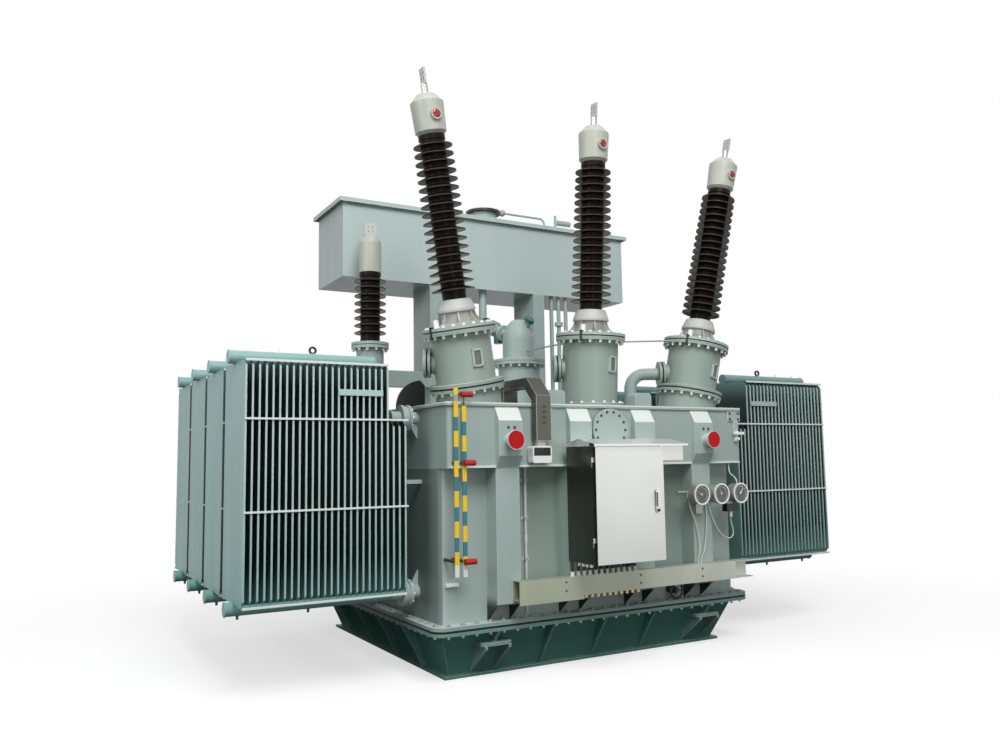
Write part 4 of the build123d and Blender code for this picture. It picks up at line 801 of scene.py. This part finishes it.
# Painted shade: the cabinet's sides are a dark copy of the same stainless steel.
shaded_side_steel = mottled("cabinet_side_steel", (1.0, 3.0), ((0.115, 0.125, 0.105, 1), (0.080, 0.088, 0.072, 1)),
                     (0.22, 0.12), {"Metallic": 0.9}, stretch=brushed)
dress(shaded_side_steel, "cabinet_sides")
handle_metal, place = new_finish("handle_metal")
fine = place.noise(200, 2.0)
keyhole = place.axis("Z").between(1.170, 1.190) * (place.axis("Y") < -1.9125)
# Painted shade: the handle's left faces are painted dark.
bright = place.mix(place.facing("X") < -0.4, (0.80, 0.80, 0.78, 1), (0.09, 0.09, 0.08, 1))
lay(handle_metal, {"Base Color": place.mix(keyhole, bright, (0.02, 0.02, 0.02, 1)), "Metallic": 0.6,
                   "Roughness": 0.22 + 0.1 * fine})
dress(handle_metal, "door_handle")

# Cable trough: folded galvanised channel along the wall, its lengths joined by screws. Nylon glands on top
# take the cables up into the cabinet's floor, and brass ones close the entries below.
gland_row = (-0.430, 0.150)
gland_y = -1.548
trough_steel, place = new_finish("trough_steel")
spangle = place.add("ShaderNodeTexVoronoi", {}, {"Vector": place, "Scale": 60.0}, "Distance")
dull = place.noise(3, 4.0)
# Painted reflection: the zinc is painted darker towards the trough's left end and paler towards its right.
zinc_and_reflection = place.mix(place.axis("X").ramp(-0.9, 1.3), (0.42, 0.465, 0.345, 1), (0.60, 0.625, 0.565, 1))
lay(trough_steel, {"Base Color": place.mix(dull.ramp(0.3, 0.7) * 0.4, zinc_and_reflection, (0.36, 0.39, 0.31, 1)),
                   "Metallic": 0.55, "Roughness": 0.36 + 0.18 * spangle})
dress(trough_steel, "cable_trough")
nylon = mottled("gland_nylon", (50, 3.0), ((0.80, 0.81, 0.79, 1), (0.68, 0.69, 0.66, 1)), (0.35, 0.15))
brass = mottled("gland_brass", (50, 3.0), ((0.80, 0.66, 0.34, 1), (0.70, 0.62, 0.42, 1)), (0.34, 0.15),
                {"Metallic": 0.5})
sheath = mottled("black_sheath", (80, 3.0), ((0.011, 0.012, 0.012, 1), (0.028, 0.028, 0.027, 1)), (0.5, 0.2))
stud_line("trough_glands", [[(x, gland_y, 0.703) for x in gland_row]], nylon,
          count=12, radius=0.0155, height=0.034, sides=16, collar=1.2)
stud_line("cabinet_cables", [[(x, gland_y, 0.730) for x in gland_row]], sheath,
          count=12, radius=0.010, height=0.087, sides=12, collar=1.0)
stud_line("trough_under_glands", [[(-0.409, 1.530, -0.563), (0.190, 1.530, -0.563)]], brass,
          count=12, radius=0.0155, height=0.028, turn=upside, sides=16, collar=1.2)
stud_line("cabinet_floor_glands", [[(-0.428, y, -0.816) for y in (1.640, 1.790)]], nylon,
          count=4, radius=0.013, height=0.026, turn=upside, sides=16, collar=1.2)
screw_pairs = [[(x, 0.668, 1.572), (x, 0.608, 1.572)] for x in (-0.503, 0.188, 0.822)]
stud_line("trough_screws", screw_pairs, dark_bolt,
          count=2, radius=0.0075, height=0.004, turn=facing_front, sides=10, collar=1.1)

# Dial gauges: three thermometers in spun aluminium cases on one bar, with a black moulded terminal box below
# the last. Each dial is a dark card under glass with pale divisions, fine and long, and one pale pointer.
bezel_y = -1.5835
gauge_metal, place = new_finish("gauge_metal")
spun = place.noise(120, 3.0)
terminal = place.axis("Z").between(1.107, 1.171) * (place.axis("X") > 1.14)
case = place.mix(place.axis("Y") < bezel_y, (0.42, 0.43, 0.39, 1), (0.84, 0.84, 0.81, 1))
lay(gauge_metal, {"Base Color": place.mix(terminal, case, (0.014, 0.014, 0.014, 1)),
                  "Metallic": 0.55 - 0.5 * terminal, "Roughness": 0.30 + 0.18 * spun})
dress(gauge_metal, "dial_gauges")
bars, given, bar_inputs = new_tree("bars_on_a_line", {
    "Line": "Geometry", "Count": "Int", "Size": "Vector", "Finish": "Material"}, "Bars")
bar = bars.add("GeometryNodeMeshCube", {}, {"Size": given["Size"]}, "Mesh")
repeat_along(bars, given, bar, turned=True)
dial_card = mottled("dial_card", (25, 3.0), ((0.085, 0.105, 0.092, 1), (0.045, 0.06, 0.05, 1)), (0.3, 0.1),
                    {"Coat Weight": 0.6})
dial_ink = mottled("dial_ink", (90, 2.0), ((0.80, 0.81, 0.78, 1), (0.70, 0.71, 0.68, 1)), (0.5, 0.1))
dial_z = 1.262
card_front = -1.5925
card_back = Vector((0, 0.0008, 0))
marks_y = -1.5932
scale_sweep = [math.radians(225 - 270 * step / 60) for step in range(61)]
divisions = (("fine", 0.060, 51, (0.006, 0.0012, 0.0012)), ("long", 0.057, 11, (0.012, 0.0014, 0.0024)))
for number, x, pointing in ((1, 0.826, 150), (2, 1.042, 120), (3, 1.258, 60)):
    card = bmesh.new()
    bmesh.ops.create_circle(card, cap_ends=True, segments=48, radius=0.0725,
                            matrix=Matrix.Translation((x, card_front, dial_z)) @ facing_front)
    bmesh.ops.recalc_face_normals(card, faces=card.faces[:])
    grown = bmesh.ops.extrude_face_region(card, geom=card.faces[:])["geom"]
    corners = [part for part in grown if isinstance(part, bmesh.types.BMVert)]
    bmesh.ops.translate(card, vec=card_back, verts=corners)
    bmesh.ops.recalc_face_normals(card, faces=card.faces[:])
    keep_shape("dial_card_%d" % number, card, dial_card)
    centre = Matrix.Translation((x, marks_y, dial_z)) @ facing_front
    for label, reach, count, size in divisions:
        arc = [(reach * math.cos(turn), reach * math.sin(turn), 0) for turn in scale_sweep]
        marks = run_tree("dial_%s_%d" % (label, number), bars, bar_inputs, [arc], False,
                         {"Count": count, "Size": size, "Finish": dial_ink}, centre)
        keep("dial_%s_marks_%d" % (label, number), marks)
    hand = bmesh.new()
    swing = Matrix.Rotation(math.radians(pointing), 4, "Z")
    lying = Matrix.Translation((0.022, 0, 0.0015)) @ Matrix.Rotation(math.pi / 2, 4, "Y")
    bmesh.ops.create_cone(hand, cap_ends=True, segments=4, radius1=0.0045, radius2=0.0008, depth=0.062,
                          matrix=swing @ lying)
    bmesh.ops.create_cone(hand, cap_ends=True, segments=24, radius1=0.009, radius2=0.007, depth=0.004,
                          matrix=Matrix.Translation((0, 0, 0.002)))
    keep_shape("dial_hand_%d" % number, hand, dial_ink, centre)

# Leads: pale sheathed capillaries that hang from the dials to the trough, the terminal box and the belt's
# ledge. Each is one smooth cord through its route with both ends held; its length is listed beside the route.
lead_sheath = mottled("lead_sheath", (60, 3.0), ((0.66, 0.67, 0.64, 1), (0.52, 0.53, 0.50, 1)), (0.4, 0.15))
lead_width = 0.010
leads = {
    "lead_first_dial": (0.545, [
        (0.776, -1.492, 1.232), (0.776, -1.492, 1.192), (0.790, -1.500, 1.122), (0.834, -1.504, 1.022),
        (0.860, -1.504, 0.902), (0.848, -1.528, 0.802), (0.826, -1.524, 0.744), (0.826, -1.524, 0.704)]),
    "lead_second_dial": (0.548, [
        (0.950, -1.492, 1.232), (0.950, -1.492, 1.192), (0.954, -1.502, 1.112), (0.946, -1.504, 0.992),
        (0.930, -1.504, 0.882), (0.888, -1.528, 0.792), (0.856, -1.524, 0.744), (0.856, -1.524, 0.704)]),
    "lead_terminal_box": (0.641, [
        (0.980, -1.492, 1.232), (0.980, -1.492, 1.192), (0.994, -1.500, 1.122), (1.028, -1.504, 1.032),
        (1.086, -1.506, 0.940), (1.152, -1.508, 0.892), (1.214, -1.510, 0.884), (1.248, -1.508, 0.928),
        (1.216, -1.508, 1.022), (1.216, -1.508, 1.062)]),
    "lead_third_dial": (0.209, [
        (1.266, -1.458, 1.512), (1.266, -1.458, 1.472), (1.242, -1.492, 1.422), (1.258, -1.554, 1.3805),
        (1.258, -1.554, 1.3405)])}
for name, (length, route) in leads.items():
    curve = bpy.data.curves.new(name, "CURVE")
    curve.dimensions = "3D"
    curve.bevel_depth = lead_width / 2
    curve.bevel_resolution = 3
    spline = curve.splines.new("NURBS")
    spline.points.add(len(route) - 1)
    for point, spot in zip(spline.points, route):
        point.co = spot + (1,)
    spline.order_u = 3
    spline.use_endpoint_u = True
    spline.resolution_u = 10
    curve.materials.append(lead_sheath)
    piece = bpy.data.objects.new(name, curve)
    scene.collection.objects.link(piece)
    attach(piece, "transformer")
    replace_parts(piece, "gauge_leads")

# Wall conduit: a rigid pale tube up the wall at the cabinet's left, with a socket in its middle and a nut at
# each end. Four painted saddles, bent from strip and screwed to the wall, hold it.
conduit_x = -0.699
conduit_y = -1.334
conduit_steps = 20
conduit_profile = [(0.016, 0.412), (0.016, 0.432), (0.011, 0.434), (0.011, 0.940), (0.0145, 0.942),
                   (0.0145, 1.000), (0.011, 1.002), (0.011, 1.490), (0.016, 1.492), (0.016, 1.512)]
tube = bmesh.new()
rows = [[tube.verts.new(point) for point in ring(wide, z, conduit_x, conduit_y, conduit_steps)]
        for wide, z in conduit_profile]
for low, high in zip(rows, rows[1:]):
    for step in range(conduit_steps):
        beside = step - conduit_steps + 1
        tube.faces.new((low[step], low[beside], high[beside], high[step]))
tube.faces.new(reversed(rows[0]))
tube.faces.new(rows[-1])
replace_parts(keep_shape("wall_conduit", tube, lead_sheath), "gauge_leads")
saddle_height = 0.022
saddle_levels = (0.560, 0.820, 1.120, 1.400)
saddle_strips = ((-0.016, 0.016, -1.349, -1.345), (-0.016, -0.012, -1.347, -1.320),
                 (0.012, 0.016, -1.347, -1.320), (-0.032, -0.014, -1.323, -1.320),
                 (0.014, 0.032, -1.323, -1.320))
saddles = [((conduit_x + left, front, z), (conduit_x + right, back, z + saddle_height))
           for z in saddle_levels for left, right, front, back in saddle_strips]
boxes("conduit_saddles", saddles, tank_paint, rounding=0.0008)

# Earthing bars: flat metal bars up the tank's corner, painted in yellow and teal bands and left bare at their
# lower ends. They are held off the wall by red moulded insulators on dark posts.
band_pitch = 0.209
joint_z = (1.982, 2.028)
bare_end_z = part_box("earthing_bars")[0][2] + 0.082
bar_paint, place = new_finish("bar_paint")
level = place.axis("Z")
first_band = place.add("ShaderNodeMapRange", {"clamp": True}, {
    "Value": place.axis("X"), "From Min": -1.335, "From Max": -1.334, "To Min": 1.982, "To Max": 1.950})
band = ((first_band - level) / band_pitch).fraction()
worn = place.noise(40, 4.0)
yellow = place.mix(worn, (0.82, 0.56, 0.012, 1), (0.74, 0.50, 0.02, 1))
stripes = place.mix(band < 0.53, (0.035, 0.17, 0.22, 1), yellow)
stripes = place.mix(level.between(*joint_z), stripes, (0.30, 0.33, 0.32, 1))
stripes = place.mix(level < bare_end_z, stripes, (0.72, 0.72, 0.66, 1))
lay(bar_paint, {"Base Color": place.mix(level > joint_z[1], stripes, yellow),
                "Roughness": 0.34 + 0.16 * worn})
dress(bar_paint, "earthing_bars")
post_y = -1.5195
insulator_red, place = new_finish("insulator_red")
level = place.axis("Z")
worn = place.noise(40, 4.0)
moulding = place.mix(worn, (0.46, 0.010, 0.010, 1), (0.34, 0.008, 0.008, 1))
post = (place.axis("Y") > post_y) * (level < 1.9)
stem = level.between(1.94, 2.012)
lay(insulator_red, {"Base Color": place.mix(post.either(stem), moulding, (0.05, 0.04, 0.035, 1)),
                    "Roughness": 0.24 + 0.16 * worn})
dress(insulator_red, "bar_insulators")

# Cable duct and surge counter: a stainless duct that folds over the cover's edge, slotted near its foot,
# above a white moulded counter with a black window. The steel is painted dark as a painted reflection, with a
# painted highlight along its folds, and dark bars in the slots are painted shade.
duct_steel, place = new_finish("duct_steel")
brush = place.vector("MULTIPLY", (300, 8, 300)).noise(1.0, 3.0)
# Painted reflection: the steel is painted dark; a painted highlight runs along its folds.
steel = place.mix(brush, (0.150, 0.150, 0.130, 1), (0.105, 0.105, 0.090, 1))
lay(duct_steel, {"Base Color": place.mix(edge_mask(place, 0.010) * 0.9, steel, (0.80, 0.80, 0.77, 1)),
                 "Metallic": 0.8, "Roughness": 0.34 + 0.14 * brush})
dress(duct_steel, "cable_duct")
# Painted shade: dark bars stand in for the shade inside the duct's slots.
slot_line = [(-0.660, -1.558, 1.955), (-0.660, -1.558, 1.835)]
slot_shades = run_tree("duct_slot_shades", bars, bar_inputs, [slot_line], False,
                 {"Count": 4, "Size": (0.012, 0.084, 0.006), "Finish": dark_bolt}, Matrix())
keep("duct_slot_shades", slot_shades)
counter_face_y = -1.5595
counter_case, place = new_finish("counter_case")
window = place.axis("X").between(-0.752, -0.608) * place.axis("Z").between(1.592, 1.652)
window = window * (place.axis("Y") < counter_face_y)
shine = place.noise(30, 3.0)
lay(counter_case, {"Base Color": place.mix(window, (0.80, 0.81, 0.79, 1), (0.012, 0.014, 0.014, 1)),
                   "Roughness": 0.26 + 0.14 * shine})
dress(counter_case, "surge_counter")
